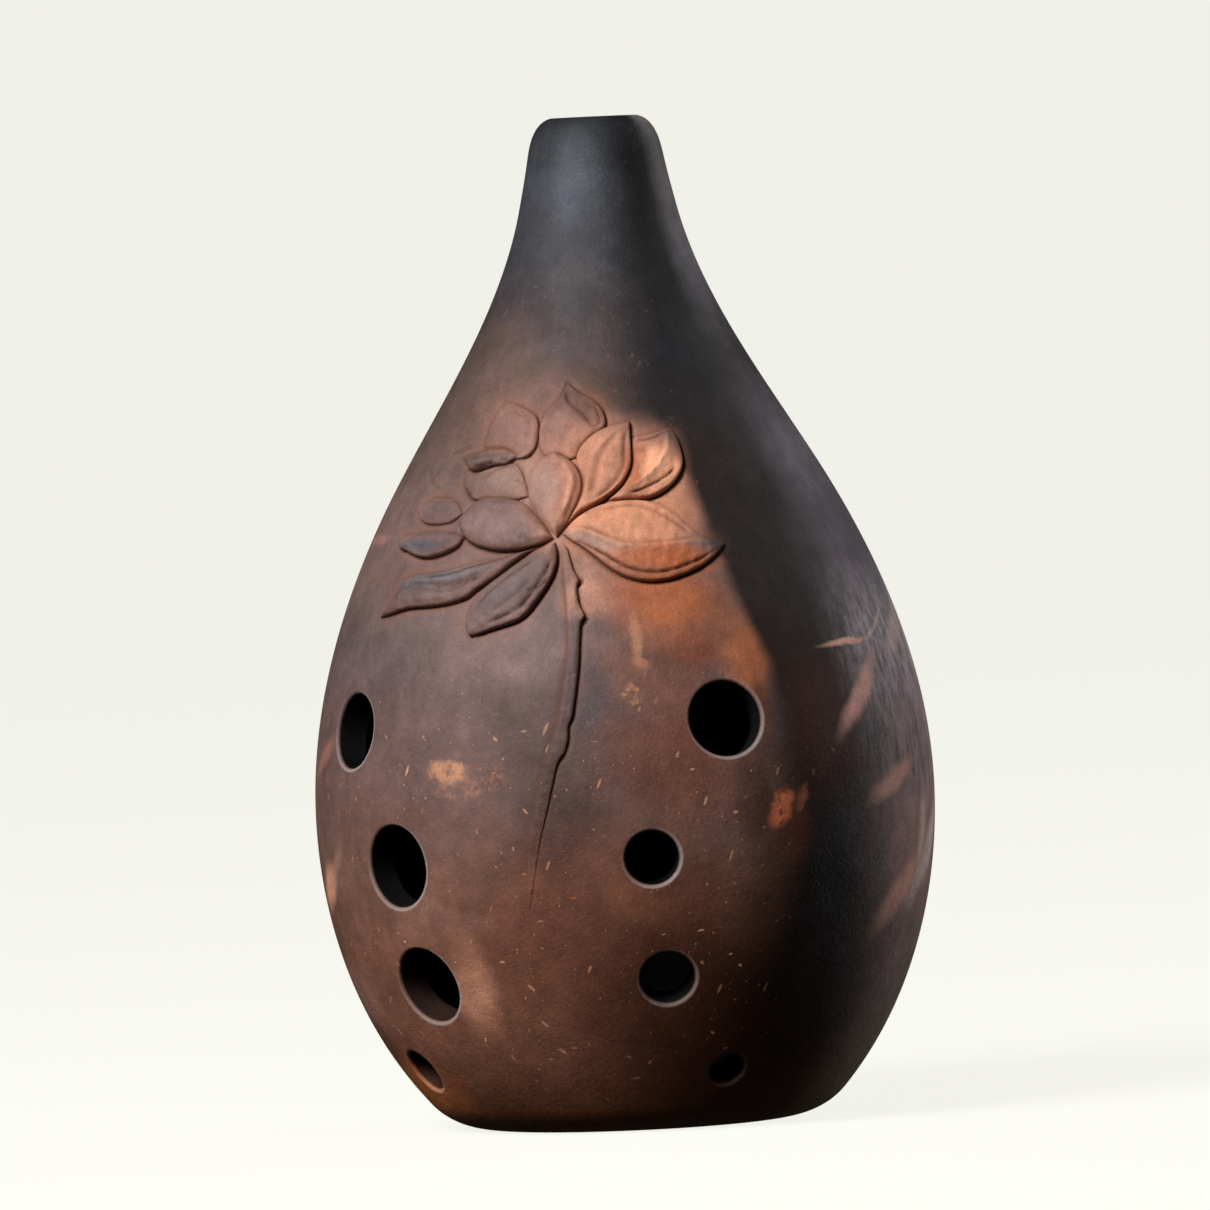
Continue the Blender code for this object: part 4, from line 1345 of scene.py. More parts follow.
@dataclass
class LaidPetal:
    """A petal or the stem, rolled out and pressed on to the front half."""

    relief: LotusRelief
    index: int
    row_step: float = 0.34
    column_step: float = 0.26

    def build(self) -> bpy.types.Object:
        """Build the petal as a closed mesh, with its edge buried in the wall."""
        relief = self.relief
        form = relief.forms[self.index]
        first, second = form.sides()
        length = np.linalg.norm(np.diff(first, axis=0), axis=1).sum()
        along = spread(max(16, int(length / self.row_step)), 0.3)
        first, second = walk(first, along), walk(second, along)
        width = np.linalg.norm(second - first, axis=1)
        across = spread(int(np.clip(width.max() / self.column_step, 10, 46)), 0.55)
        spot = first[:, None] + (second - first)[:, None] * across[:, None]
        u, v = spot[..., 0], spot[..., 1]
        height, facts = relief.on_petal(
            self.index, u, v, along[:, None], across[None], width[:, None]
        )
        azimuth, run = relief.from_sheet(u, v)
        base = relief.outline.hand_work(azimuth, run)
        top = relief.outline.place(azimuth, run, base + height)
        low = relief.outline.place(azimuth, run, base - relief.buried)
        mesh = ClayMesh()
        grid = mesh.add(top[1:-1], facts[1:-1])
        ends = mesh.add(top[[0, -1], 0], facts[[0, -1], 0])
        edge_facts = facts[1:-1, [0, -1]]
        # The buried edge is painted fully dark: soot and painted shade where the petal meets the
        # wall
        edge_facts[..., SOOT_AND_SHADE] = 1.0
        border = mesh.add(low[1:-1, [0, -1]], edge_facts)
        low_ends = mesh.add(low[[0, -1], 0], no_facts())
        for lines, tips in ((grid, ends), (border, low_ends)):
            mesh.sheet(lines)
            mesh.fan(lines[0], tips[0])
            mesh.fan(lines[-1], tips[1])
        for side in (0, 1):
            edge = np.concatenate([ends[:1], grid[:, -side], ends[1:]])
            under = np.concatenate([low_ends[:1], border[:, side], low_ends[1:]])
            mesh.strip(edge, under)
        return mesh.make(form.name, sharp=62.0)


# Finish

# What each noise is told
NOISE = ("Vector", "Scale", "Detail", "Roughness")


@dataclass(frozen=True)
class PaintPatch:
    """A patch that flame or smoke left on the clay: an ellipse laid on the body.

    The reaches are half its size across and up, before it is tilted anticlockwise.
    """

    name: str
    azimuth: float
    height: float
    across: float
    up: float
    colour: str
    strength: float = 1.0
    tilt: float = 0.0
    brush: Brush = Brush.CLOUD


# Broad clouds, from the ones laid down first to the last; three of them carry painted sheen and
# light
CLOUDS = tuple(
    PaintPatch(*row) for row in (
        ("dusky left limb", -58.0, 100.0, 12.0, 14.0, "#4b4140", 0.6),
        # Pale burnished belly, with the key light's sheen painted into it
        ("pale belly and painted sheen", -2.0, 67.5, 13.0, 6.5, "#8a6c67", 0.65),
        ("plum shade under the lotus", 9.0, 54.0, 10.5, 10.0, "#563f3a", 0.75),
        ("blue shade beside the stem", 16.2, 60.0, 2.4, 5.5, "#4e464a", 0.55),
        ("shade at the end of the stem", 9.0, 41.0, 7.0, 8.0, "#46302a", 0.8),
        ("chestnut lap", 16.0, 27.0, 22.0, 15.0, "#693e2d", 0.8),
        ("pale spot between the holes", 24.0, 31.0, 5.0, 3.5, "#8c5a41", 0.7),
        ("copper cheek", 31.0, 51.0, 11.0, 10.0, "#73432f", 0.75),
        # Amber clay at the foot, with painted light that lifts the floor's shade off it
        ("umber right lap", 34.0, 17.0, 16.0, 18.0, "#44200e", 0.85),
        ("amber foot and painted light", -64.0, 5.0, 16.0, 6.5, "#f08a4c", 0.75),
        ("pale lower left edge", -56.0, 19.0, 7.0, 5.0, "#a5776a", 0.85),
        ("pale brow", 5.0, 95.5, 10.5, 8.5, "#a2766a", 0.75),
        ("pale back petals", -8.0, 90.0, 6.0, 4.0, "#a07f72", 0.6),
        ("orange heart", 23.0, 87.0, 12.0, 11.0, "#ce8c6e", 1.0),
        ("brown haze over the lotus", 25.0, 101.0, 11.0, 5.0, "#493530", 0.8),
        ("grey haze on the neck", 17.0, 108.0, 12.0, 6.0, "#433a3c", 0.7),
        ("bright petal", 27.0, 83.0, 8.0, 5.5, "#db9672", 0.8),
        # The cupped petal's lit lobe: orange clay with a painted highlight
        ("bright cup and painted highlight", 34.5, 89.5, 3.4, 4.0, "#ffb48c", 0.9, -15.0),
        ("beside the root of the stem", 14.5, 74.0, 3.6, 4.5, "#b28270", 0.85),
        ("russet under the skirt", 29.0, 64.0, 9.0, 6.5, "#825039", 0.6),
        ("copper over the hole", 36.0, 66.0, 4.0, 3.5, "#8c4a34", 0.6),
        ("smoky small petals", -25.0, 83.0, 5.5, 5.0, "#665252", 0.65),
        ("orange skirt", 32.0, 73.0, 9.5, 6.0, "#b0643f", 0.95),
        ("end of the skirt", 46.5, 65.0, 4.5, 6.5, "#bc7048", 0.9),
        ("rust between the petals", 25.5, 90.5, 1.6, 4.0, "#b0582c", 0.6, -20.0),
        ("halo beside the ring hole", -14.0, 20.0, 3.8, 7.5, "#c88c70", 0.8),
        ("halo above the ring hole", -20.0, 29.5, 8.0, 2.5, "#91695a", 0.6),
    )
)

# Soot and bloom on the petals, flashes and streaks, on top of the smoke
FLASHES = tuple(
    PaintPatch(*row) for row in (
        ("bloom on the back", -165.0, 78.0, 16.0, 24.0, "#4e4644", 0.6),
        ("warm flank behind", -118.0, 36.0, 16.0, 20.0, "#5a3a2c", 0.6),
        ("warm foot behind", 165.0, 10.0, 22.0, 7.0, "#46291a", 0.6),
        ("blotch on the shoulder", 3.0, 107.0, 3.5, 2.5, "#55484a", 0.5, 20.0),
        ("blotch on the neck", 8.0, 112.5, 2.5, 3.5, "#3a3638", 0.6, -15.0),
        ("cool light on the neck", 4.0, 129.0, 3.5, 7.0, "#50545e", 0.6),
        ("pale foot of the front petal", 6.5, 81.5, 2.6, 2.4, "#b08472", 0.7),
        ("mauve front petal", 3.0, 87.5, 3.2, 5.0, "#a4847a", 0.7),
        ("mauve left petal", -7.5, 83.2, 5.6, 3.2, "#90716a", 0.6),
        ("soot on the long petal", -22.0, 76.3, 8.5, 1.3, "#66646a", 0.8, 8.0),
        ("soot on the drooping petal", -2.5, 73.6, 5.5, 1.6, "#6a5858", 0.75, 26.0),
        ("soot on the leaf", -30.0, 80.4, 4.6, 1.0, "#50565e", 0.8),
        ("soot on the curled petal", -13.5, 91.9, 4.2, 0.9, "#5e5a5c", 0.6, 6.0),
        ("bloom at the spread root", 16.0, 80.6, 4.2, 0.8, "#947b71", 0.7, -20.0),
        ("orange lip", 32.0, 78.0, 7.5, 2.0, "#c06a40", 0.9, -3.0, Brush.STROKE),
        ("soot on the spread tip", 45.6, 79.6, 2.0, 1.0, "#3c3232", 0.9, -8.0),
        ("bloom in the upright petal", 21.5, 89.5, 0.9, 3.6, "#b48468", 0.6, -20.0),
        ("brown flap of the back petal", 16.0, 98.3, 2.6, 3.4, "#6b4637", 0.65, 20.0),
        ("umber edge of the cheek", 45.5, 46.5, 3.5, 8.0, "#46281c", 0.6),
        ("red glow", 53.0, 41.0, 3.6, 5.5, "#6a3424", 0.5),
        ("copper beside the hole", 48.5, 57.5, 1.6, 4.5, "#6c3a22", 0.7, 4.0),
        ("shade of the stem", 12.4, 62.0, 1.1, 11.0, "#54484c", 0.6, -3.0, Brush.STROKE),
        ("flash below the lotus", -13.4, 50.6, 3.4, 1.7, "#d89a74", 0.7, -4.0, Brush.FLASH),
        ("specks below the lotus", -8.5, 49.2, 6.0, 2.4, "#c08468", 0.4, 10.0, Brush.SPECKS),
        ("flash beside the stem", 24.4, 67.4, 0.9, 4.2, "#c48a68", 0.65, 4.0, Brush.STROKE),
        ("foot of that flash", 25.6, 64.2, 1.4, 0.7, "#b87a60", 0.75, -15.0, Brush.STROKE),
        ("dots over the middle hole", 23.2, 60.2, 1.4, 1.6, "#c8875c", 0.7, 0.0, Brush.SPECKS),
        ("flash on the right cheek", 50.8, 43.7, 1.8, 3.0, "#d87850", 0.9, -28.0, Brush.FLASH),
        ("spur of that flash", 55.4, 45.0, 0.9, 2.1, "#9a5a40", 0.75, -20.0, Brush.FLASH),
        ("left edge flash", -55.0, 52.2, 4.6, 1.5, "#a56e5c", 0.8, 30.0, Brush.STROKE),
        ("lower left edge flash", -57.0, 34.2, 5.0, 2.3, "#f0ac8c", 0.85, 32.0, Brush.STROKE),
        ("its upper end", -48.5, 38.2, 2.6, 1.0, "#a07868", 0.6, 35.0, Brush.STROKE),
        ("pink left edge", -56.5, 81.6, 5.5, 0.9, "#a6776c", 0.6, 4.0, Brush.STROKE),
        ("rosy haze", 90.0, 37.0, 9.0, 8.0, "#c48e86", 0.5),
        ("brown smoke edge", 62.0, 54.0, 6.0, 10.0, "#502818", 0.5),
        ("diagonal streak", 73.4, 58.2, 7.2, 1.6, "#ffbcae", 0.9, 44.0, Brush.STROKE),
        ("thin streak", 73.6, 65.3, 5.6, 0.5, "#ffc4b0", 0.95, 3.0, Brush.STROKE),
        ("tail of the thin streak", 86.3, 67.2, 4.8, 0.42, "#ffdcd6", 0.7, 28.0, Brush.STROKE),
        ("short streak", 81.5, 46.5, 6.8, 1.6, "#ffbca4", 0.85, 24.0, Brush.STROKE),
        ("lower streak", 84.0, 30.8, 7.2, 2.3, "#ffbea8", 0.9, 40.0, Brush.STROKE),
        ("far streak", 98.0, 35.6, 9.0, 2.6, "#ffe4d8", 0.9, 46.0, Brush.STROKE),
        ("upright streak", 93.4, 38.5, 1.6, 6.2, "#ffdccc", 0.85, -8.0, Brush.STROKE),
        ("upper far streak", 97.5, 66.6, 8.0, 1.8, "#ffdcd4", 0.8, 27.0, Brush.STROKE),
    )
)


@dataclass
class SmokeFiredClay:
    """Low-fired terracotta, burnished with a pebble and blackened in the smoke.

    Burnishing closes the skin, so it has a dull sheen and no gloss. Flame turns the clay
    orange, smoke turns it black, and where the two meet they leave a soft or a sharp line.
    The patches are laid on the body's outline. Some patches and tones are painted light and
    shade: sheen, highlights, the dark inside and the dark in the crevices.
    """

    outline: BodyOutline
    name: str = "smoke_fired_terracotta"
    ior: float = 1.47
    roughness: float = 0.6
    shine: float = 0.3
    # The inside of the pot and down the bores: soot and painted shade
    inside: str = "#050404"
    # The two tones of soot and painted shade in the grooves and at the petals' buried edges
    crevice_soot_and_shade: str = "#4a2616"
    soot: str = "#150905"
    # Worn rims, painted pale too as a highlight on each hole's lit side
    worn_and_lit: str = "#b4a6a2"
    scorched: str = "#a4643f"
    straw: str = "#d4a888"
    ember: str = "#b8683c"
    crack: str = "#2a2425"
    # The clay on the flame's side, for each height of the body
    flame_tones: Tones = (
        (0.0, "#6e3c1c"), (4.0, "#72432a"), (10.0, "#7e503e"), (18.0, "#8a5c48"),
        (28.0, "#865b4a"), (38.0, "#765549"), (50.0, "#735852"), (60.0, "#6a5351"),
        (68.0, "#675654"), (76.0, "#755d58"), (83.0, "#775e59"), (90.0, "#6c564e"),
        (98.0, "#76584c"), (105.0, "#634b44"), (112.0, "#423839"), (120.0, "#3f3e43"),
        (130.0, "#404248"), (136.0, "#2c2e33"), (138.0, "#26282c"),
    )
    # The clay in the thick of the smoke: soot, with painted shade in its darkest tones low on the
    # body
    smoke_and_shade_tones: Tones = (
        (0.0, "#5a2c0c"), (5.0, "#50280a"), (11.0, "#3c1b08"), (20.0, "#200e05"),
        (34.0, "#0e0603"), (46.0, "#180c08"), (54.0, "#20100b"), (62.0, "#2a1810"),
        (76.0, "#2b2320"), (92.0, "#2a201e"), (106.0, "#242327"), (116.0, "#1f1f20"),
        (138.0, "#161518"),
    )
    # The grey bloom beyond it, on the far right, with a painted sheen of the rim light in it
    bloom_and_sheen_tones: Tones = (
        (0.0, "#806450"), (10.0, "#948278"), (20.0, "#a08783"), (32.0, "#b6948e"),
        (46.0, "#c4a2a4"), (58.0, "#d2b6bc"), (66.0, "#ecd8de"), (72.0, "#b4a6b0"),
        (77.0, "#7b6d79"), (84.0, "#756b76"), (92.0, "#8f8392"), (99.0, "#665a63"),
        (105.0, "#453a40"), (110.0, "#645c64"), (118.0, "#968f99"), (126.0, "#989096"),
        (138.0, "#888284"),
    )
    # Where the smoke line runs: its azimuth for each height, and how many degrees it fades over
    smoke_line: Points = (
        (0.0, 40.0), (10.0, 38.0), (20.0, 42.0), (30.0, 47.0), (40.0, 49.8), (50.0, 51.2),
        (56.0, 51.6), (60.0, 51.5), (64.0, 51.0), (70.0, 48.6), (76.0, 46.0), (80.0, 44.3),
        (86.0, 43.0), (92.0, 42.0), (95.0, 39.5), (98.0, 30.0), (101.0, 26.5), (106.0, 29.0),
        (114.0, 36.0), (124.0, 37.0), (140.0, 38.0),
    )
    smoke_fade: Points = (
        (0.0, 14.0), (30.0, 10.0), (45.0, 8.0), (56.0, 5.5), (62.0, 2.6), (80.0, 2.4),
        (90.0, 3.0), (96.0, 7.0), (102.0, 13.0), (112.0, 19.0), (140.0, 19.0),
    )
    # What each fact does: its tone, from and up to what value it grows, and its strength
    wears: tuple[tuple[str, str, float, float, float], ...] = (
        ("warm", "scorched", 0.0, 1.0, 0.22), ("wear_and_highlight", "worn_and_lit", 0.0, 1.0, 0.85),
        ("soot", "crevice_soot_and_shade", 0.0, 0.6, 0.8), ("soot", "soot", 0.5, 1.0, 0.95),
        ("deep", "inside", 0.0, 1.0, 1.0),
    )
    # The kiln clouds, blotches, brush marks and scrape marks: the stretch of each layer, how
    # many of its marks there are to a millimetre, their detail, and how far they darken and
    # lighten the clay
    layers: tuple[tuple[Any, ...], ...] = (
        ((1.0, 1.0, 1.0), 0.085, 6.0, 0.84, 1.16), ((1.0, 1.0, 1.0), 0.19, 4.0, 0.90, 1.10),
        ((1.0, 1.0, 1.0), 0.42, 5.0, 0.86, 1.14), ((0.12, 0.12, 1.0), 0.8, 3.0, 0.98, 1.02),
        ((1.0, 1.0, 0.12), 0.5, 3.0, 0.96, 1.04), ((1.0, 1.0, 1.0), 3.0, 2.0, 0.88, 1.12),
    )
    # The lots of straw flecks: how each lies, how long it is for its width, how many lie in a
    # millimetre and how wide the widest is, as a share of the room that one has
    flecks: tuple[tuple[Any, ...], ...] = (
        ((0.0, 0.4, 0.2), 5.0, 0.72, 0.185), ((0.1, -0.8, 0.2), 3.6, 0.72, 0.170),
        ((0.0, 1.5, 0.35), 3.4, 0.78, 0.175), ((0.0, 0.0, 0.4), 1.3, 1.20, 0.165),
        ((0.7, 0.3, 0.9), 1.5, 1.75, 0.150),
    )

    def make(self) -> bpy.types.Material:
        """Make the material."""
        material = bpy.data.materials.new(self.name)
        material.use_nodes = True
        self.tree = material.node_tree
        shader = self.tree.nodes["Principled BSDF"]
        place = self.add_node("TexCoord", {}, "Object")
        self.spot = self.add_node("VectorMath", {0: place, "Scale": 1.0 / MM}, operation="SCALE")
        drift, steady, ragged = (
            self.drifting(*way) for way in ((0.09, 4.0), (0.16, 1.0), (0.7, 0.8))
        )
        self.grain = self.add_node("TexNoise", dict(zip(NOISE, (self.spot, 0.9, 4.0, 0.65))))
        colour = self.by_height(self.bearings(drift)[1], self.flame_tones)
        for patch in CLOUDS:
            colour = self.paint(colour, patch, drift)
        degrees, height = self.bearings(steady)
        smoke = self.smoke(degrees, height)
        colour = self.smoke_side(degrees, height, colour, smoke)
        for patch in FLASHES:
            soft = patch.brush in (Brush.CLOUD, Brush.STROKE)
            colour = self.paint(colour, patch, steady if soft else ragged)
        colour = self.with_facts(self.specks(self.mottle(colour)))
        self.tree.links.new(colour, shader.inputs["Base Color"])
        shader.inputs["IOR"].default_value = self.ior
        shader.inputs["Specular IOR Level"].default_value = self.shine
        self.touch(shader)
        return material

    def add_node(self, kind: str, feeds: Any, pick: Any = 0, **settings: Any) -> Socket:
        """Add a node with its settings and links.

        Args:
            kind: The node's type, without the prefix that all of them have.
            feeds: For each input, by name or number, a value or the output that feeds it,
                or a tuple of them for the first inputs.
            pick: The output that is wanted, by name or number.
            settings: The node's properties.

        Returns:
            The output.
        """
        node = self.tree.nodes.new("ShaderNode" + kind)
        for name, value in settings.items():
            setattr(node, name, value)
        for socket, value in dict(enumerate(feeds) if isinstance(feeds, tuple) else feeds).items():
            if isinstance(value, Socket):
                self.tree.links.new(value, node.inputs[socket])
            else:
                node.inputs[socket].default_value = value
        return node.outputs[pick]

    def drifting(self, scale: float, reach: float) -> Socket:
        """Move places about, so that painted edges wander.

        Args:
            scale: How many wanderings there are to a millimetre.
            reach: How far they go, in millimetres.

        Returns:
            The moved places.
        """
        noise = {"Vector": self.spot, "Scale": scale, "Detail": 3.0}
        colour = self.add_node("TexNoise", noise, "Color")
        centred = self.add_node("VectorMath", (colour, (0.5, 0.5, 0.5)), operation="SUBTRACT")
        feeds = (centred, (reach * 2, reach * 2, reach * 2), self.spot)
        return self.add_node("VectorMath", feeds, operation="MULTIPLY_ADD")

    def bearings(self, where: Socket) -> tuple[Socket, Socket]:
        """Return the azimuth of places in degrees, and their height."""
        x, y, height = self.add_node("SeparateXYZ", (where,)).node.outputs
        back = self.add_node("Math", (y, -1.0), operation="MULTIPLY")
        turn = self.add_node("Math", (x, back), operation="ARCTAN2")
        return self.add_node("Math", (turn,), operation="DEGREES"), height

    def by_height(self, height: Socket, tones: Tones) -> Socket:
        """Colour the clay by its height, with a tone for each height in millimetres."""
        level = self.add_node("Math", (height, CURVE_HEIGHT), operation="DIVIDE")
        ramp = self.add_node("ValToRGB", (level,))
        stops = ramp.node.color_ramp.elements
        while len(stops) < len(tones):
            stops.new(1.0)
        for stop, (at, tone) in zip(stops, tones):
            stop.position = at / CURVE_HEIGHT
            stop.color = linear(tone)
        return ramp

    def curve(self, height: Socket, knots: Points) -> Socket:
        """Read a number, up to a hundred, off a smooth curve by height in millimetres."""
        level = self.add_node("Math", (height, CURVE_HEIGHT), operation="DIVIDE")
        curve = self.add_node("FloatCurve", {"Value": level})
        points = curve.node.mapping.curves[0].points
        while len(points) < len(knots):
            points.new(0.5, 0.5)
        for point, (at, value) in zip(points, knots):
            point.location = (at / CURVE_HEIGHT, value / 100.0)
        curve.node.mapping.update()
        return self.add_node("Math", (curve, 100.0), operation="MULTIPLY")

    def gated(self, share: Optional[Socket], *gates: tuple[Any, ...]) -> Socket:
        """Multiply a share by smooth rises and falls.

        Args:
            share: The share to begin with, or None for one.
            gates: For each, its value, where it starts and ends, and what it is before and
                after.

        Returns:
            The share that is left.
        """
        for gate in gates:
            part = self.add_node("MapRange", gate, interpolation_type="SMOOTHSTEP")
            if share is not None:
                part = self.add_node("Math", (part, share), operation="MULTIPLY")
            share = part
        return share

    def paint(self, colour: Socket, patch: PaintPatch, where: Socket) -> Socket:
        """Paint a patch over what is there.

        Args:
            colour: The colour under it.
            patch: The patch.
            where: The places to look at, in millimetres.

        Returns:
            The colour with the patch on it.
        """
        azimuth = math.radians(patch.azimuth)
        run = self.outline.run_at(patch.height)
        middle = self.outline.place(azimuth, run, 0.0)
        _, _, out, up = self.outline.at(run)
        side = Vector((math.cos(azimuth), math.sin(azimuth), 0.0))
        outward = Vector((out * math.sin(azimuth), -out * math.cos(azimuth), up))
        upward = outward.cross(side)
        tilt = math.radians(patch.tilt)
        across = side * math.cos(tilt) + upward * math.sin(tilt)
        along = upward * math.cos(tilt) - side * math.sin(tilt)
        turn = Matrix((across, along, outward)).transposed().to_euler("XYZ")
        torn_edge = patch.brush in (Brush.FLASH, Brush.SPECKS)
        low, high = (1.2, 0.6) if torn_edge else (1.35, 0.35)
        thick = max(patch.across, patch.up) * 0.9 + 3.0
        mapping = {
            "Vector": where, "Location": tuple(middle), "Rotation": tuple(turn),
            "Scale": (patch.across * low, patch.up * low, thick * low),
        }
        mapped = self.add_node("Mapping", mapping, vector_type="TEXTURE", label=patch.name)
        near = self.add_node("TexGradient", (mapped,), "Fac", gradient_type="SPHERICAL")
        edge = {"interpolation_type": "SMOOTHSTEP", "clamp": False}
        spread_out = (near, 0.0, 1.0 - high / low, 0.0, patch.strength)
        mask = self.add_node("MapRange", spread_out, **edge)
        if torn_edge:
            start, end = (0.46, 0.62) if patch.brush is Brush.SPECKS else (0.26, 0.54)
            torn = self.add_node("MapRange", (self.grain, start, end, 0.1, 1.0), **edge)
            mask = self.add_node("Math", (mask, torn), operation="MULTIPLY")
        feeds = {0: mask, 6: colour, 7: linear(patch.colour)}
        return self.add_node("Mix", feeds, 2, data_type="RGBA")

    def smoke(self, degrees: Socket, height: Socket) -> Socket:
        """Colour the smoked side: black beside the smoke line, soot with painted shade low down,
        then a grey, fibrous bloom with a painted sheen.

        Args:
            degrees: The azimuth of each place.
            height: Its height.

        Returns:
            The colour.
        """
        black = self.by_height(height, self.smoke_and_shade_tones)
        # The bloom's pale tones are a grey bloom and a painted sheen together
        bloom = self.by_height(height, self.bloom_and_sheen_tones)
        fibres = self.add_node("VectorMath", (self.spot, (1.0, 1.0, 0.22)), operation="MULTIPLY")
        bark = self.add_node("TexNoise", dict(zip(NOISE, (fibres, 0.8, 5.0, 0.7))))
        lines = self.add_node("MapRange", (bark, 0.44, 0.58, 0.0, 1.0))
        cracked = self.gated(
            lines, (height, 40.0, 52.0, 0.15, 0.6), (height, 66.0, 78.0, 1.0, 0.25),
            (degrees, 92.0, 112.0, 1.0, 0.2),
        )
        feeds = {0: cracked, 6: bloom, 7: linear(self.crack)}
        bloom = self.add_node("Mix", feeds, 2, data_type="RGBA")
        share = self.gated(None, (degrees, 64.0, 90.0, 0.0, 1.0), (degrees, 105.0, 165.0, 1.0, 0.0))
        return self.add_node("Mix", {0: share, 6: black, 7: bloom}, 2, data_type="RGBA")

    def smoke_side(self, degrees: Socket, height: Socket, colour: Socket, smoke: Socket) -> Socket:
        """Blacken the side that stood in the smoke, up to the smoke line, in tones that carry
        painted shade low down.

        Args:
            degrees: The azimuth of each place.
            height: Its height.
            colour: The colour under the smoke.
            smoke: The colour of the smoked clay.

        Returns:
            The colour with the smoke on it.
        """
        line = self.curve(height, self.smoke_line)
        fade = self.curve(height, self.smoke_fade)
        past = self.add_node("Math", (degrees, line), operation="SUBTRACT")
        share = self.add_node("Math", (past, fade), operation="DIVIDE")
        near = self.gated(None, (share, -1.0, 1.0, 0.0, 1.0))
        far = self.gated(None, (degrees, -120.0, -80.0, 1.0, 0.0))
        either = self.add_node("Math", (near, far), operation="MAXIMUM")
        return self.add_node("Mix", {0: either, 6: colour, 7: smoke}, 2, data_type="RGBA")

    def mottle(self, colour: Socket) -> Socket:
        """Break the tone up with layers of marks."""
        tone: Optional[Socket] = None
        for stretch, scale, detail, dark, pale in self.layers:
            drawn = self.add_node("VectorMath", (self.spot, stretch), operation="MULTIPLY")
            noise = self.add_node("TexNoise", dict(zip(NOISE, (drawn, scale, detail, 0.6))))
            layer = self.add_node("MapRange", (noise, 0.32, 0.68, dark, pale))
            if tone is not None:
                layer = self.add_node("Math", (tone, layer), operation="MULTIPLY")
            tone = layer
        return self.add_node("VectorMath", {0: colour, "Scale": tone}, operation="SCALE")

    def specks(self, colour: Socket) -> Socket:
        """Strew the burnt-out straw flecks, which lie every way in the clay of the belly."""
        degrees, height = self.bearings(self.spot)
        clumps = self.add_node("TexNoise", {"Vector": self.spot, "Scale": 0.07})
        straw_field = self.gated(
            self.add_node("MapRange", (clumps, 0.33, 0.52, 0.15, 1.0)),
            (height, 4.0, 14.0, 0.25, 1.0), (height, 50.0, 66.0, 1.0, 0.12),
            (degrees, 42.0, 56.0, 1.0, 0.2), (degrees, -60.0, -40.0, 0.3, 1.0),
        )
        for turn, length, scale, widest in self.flecks:
            mapping = {"Vector": self.spot, "Rotation": turn, "Scale": (1.0, 1.0, length)}
            mapped = self.add_node("Mapping", mapping, vector_type="TEXTURE")
            cells = {"Vector": mapped, "Scale": scale, "Randomness": 1.0}
            distance = self.add_node("TexVoronoi", cells, "Distance")
            chances = self.add_node("SeparateColor", (distance.node.outputs["Color"],))
            size = self.add_node("MapRange", (chances, 0.5, 1.0, 0.0, widest))
            chance = chances.node.outputs[1]
            burnt = {0: chance, 6: linear(self.straw), 7: linear(self.ember)}
            burnt = self.add_node("Mix", burnt, 2, data_type="RGBA")
            inside = self.add_node("Math", (size, distance), operation="SUBTRACT")
            mask = self.add_node("MapRange", (inside, 0.0, 0.03, 0.0, 0.85))
            mask = self.add_node("Math", (mask, straw_field), operation="MULTIPLY")
            colour = self.add_node("Mix", {0: mask, 6: colour, 7: burnt}, 2, data_type="RGBA")
        return colour

    def with_facts(self, colour: Socket) -> Socket:
        """Scorch the edges, darken crevices and inside with soot and painted shade, and wear rims
        pale with a painted highlight.
        """
        for fact, tone, low, high, strength in self.wears:
            read = self.add_node("Attribute", {}, "Fac", attribute_name=fact)
            mask = self.add_node("MapRange", (read, low, high, 0.0, strength))
            feeds = {0: mask, 6: colour, 7: linear(getattr(self, tone))}
            colour = self.add_node("Mix", feeds, 2, data_type="RGBA")
        return colour

    def touch(self, shader: bpy.types.Node) -> None:
        """Give the surface its uneven sheen, its fine grain and its scrape marks."""
        sheen = self.add_node("TexNoise", dict(zip(NOISE, (self.spot, 0.16, 5.0, 0.6))))
        dull, duller = self.roughness - 0.1, self.roughness + 0.1
        rough = self.add_node("MapRange", (sheen, 0.3, 0.7, dull, duller))
        self.tree.links.new(rough, shader.inputs["Roughness"])
        grain = self.add_node("TexNoise", dict(zip(NOISE, (self.spot, 1.4, 6.0, 0.7))))
        scraped = self.add_node("VectorMath", (self.spot, (0.1, 0.1, 1.0)), operation="MULTIPLY")
        marks = self.add_node("TexNoise", dict(zip(NOISE, (scraped, 0.9, 3.0, 0.6))))
        height = self.add_node("Math", (marks, 0.12, grain), operation="MULTIPLY_ADD")
        feeds = {"Strength": 0.5, "Distance": 0.00026, "Height": height}
        self.tree.links.new(self.add_node("Bump", feeds), shader.inputs["Normal"])


# Studio


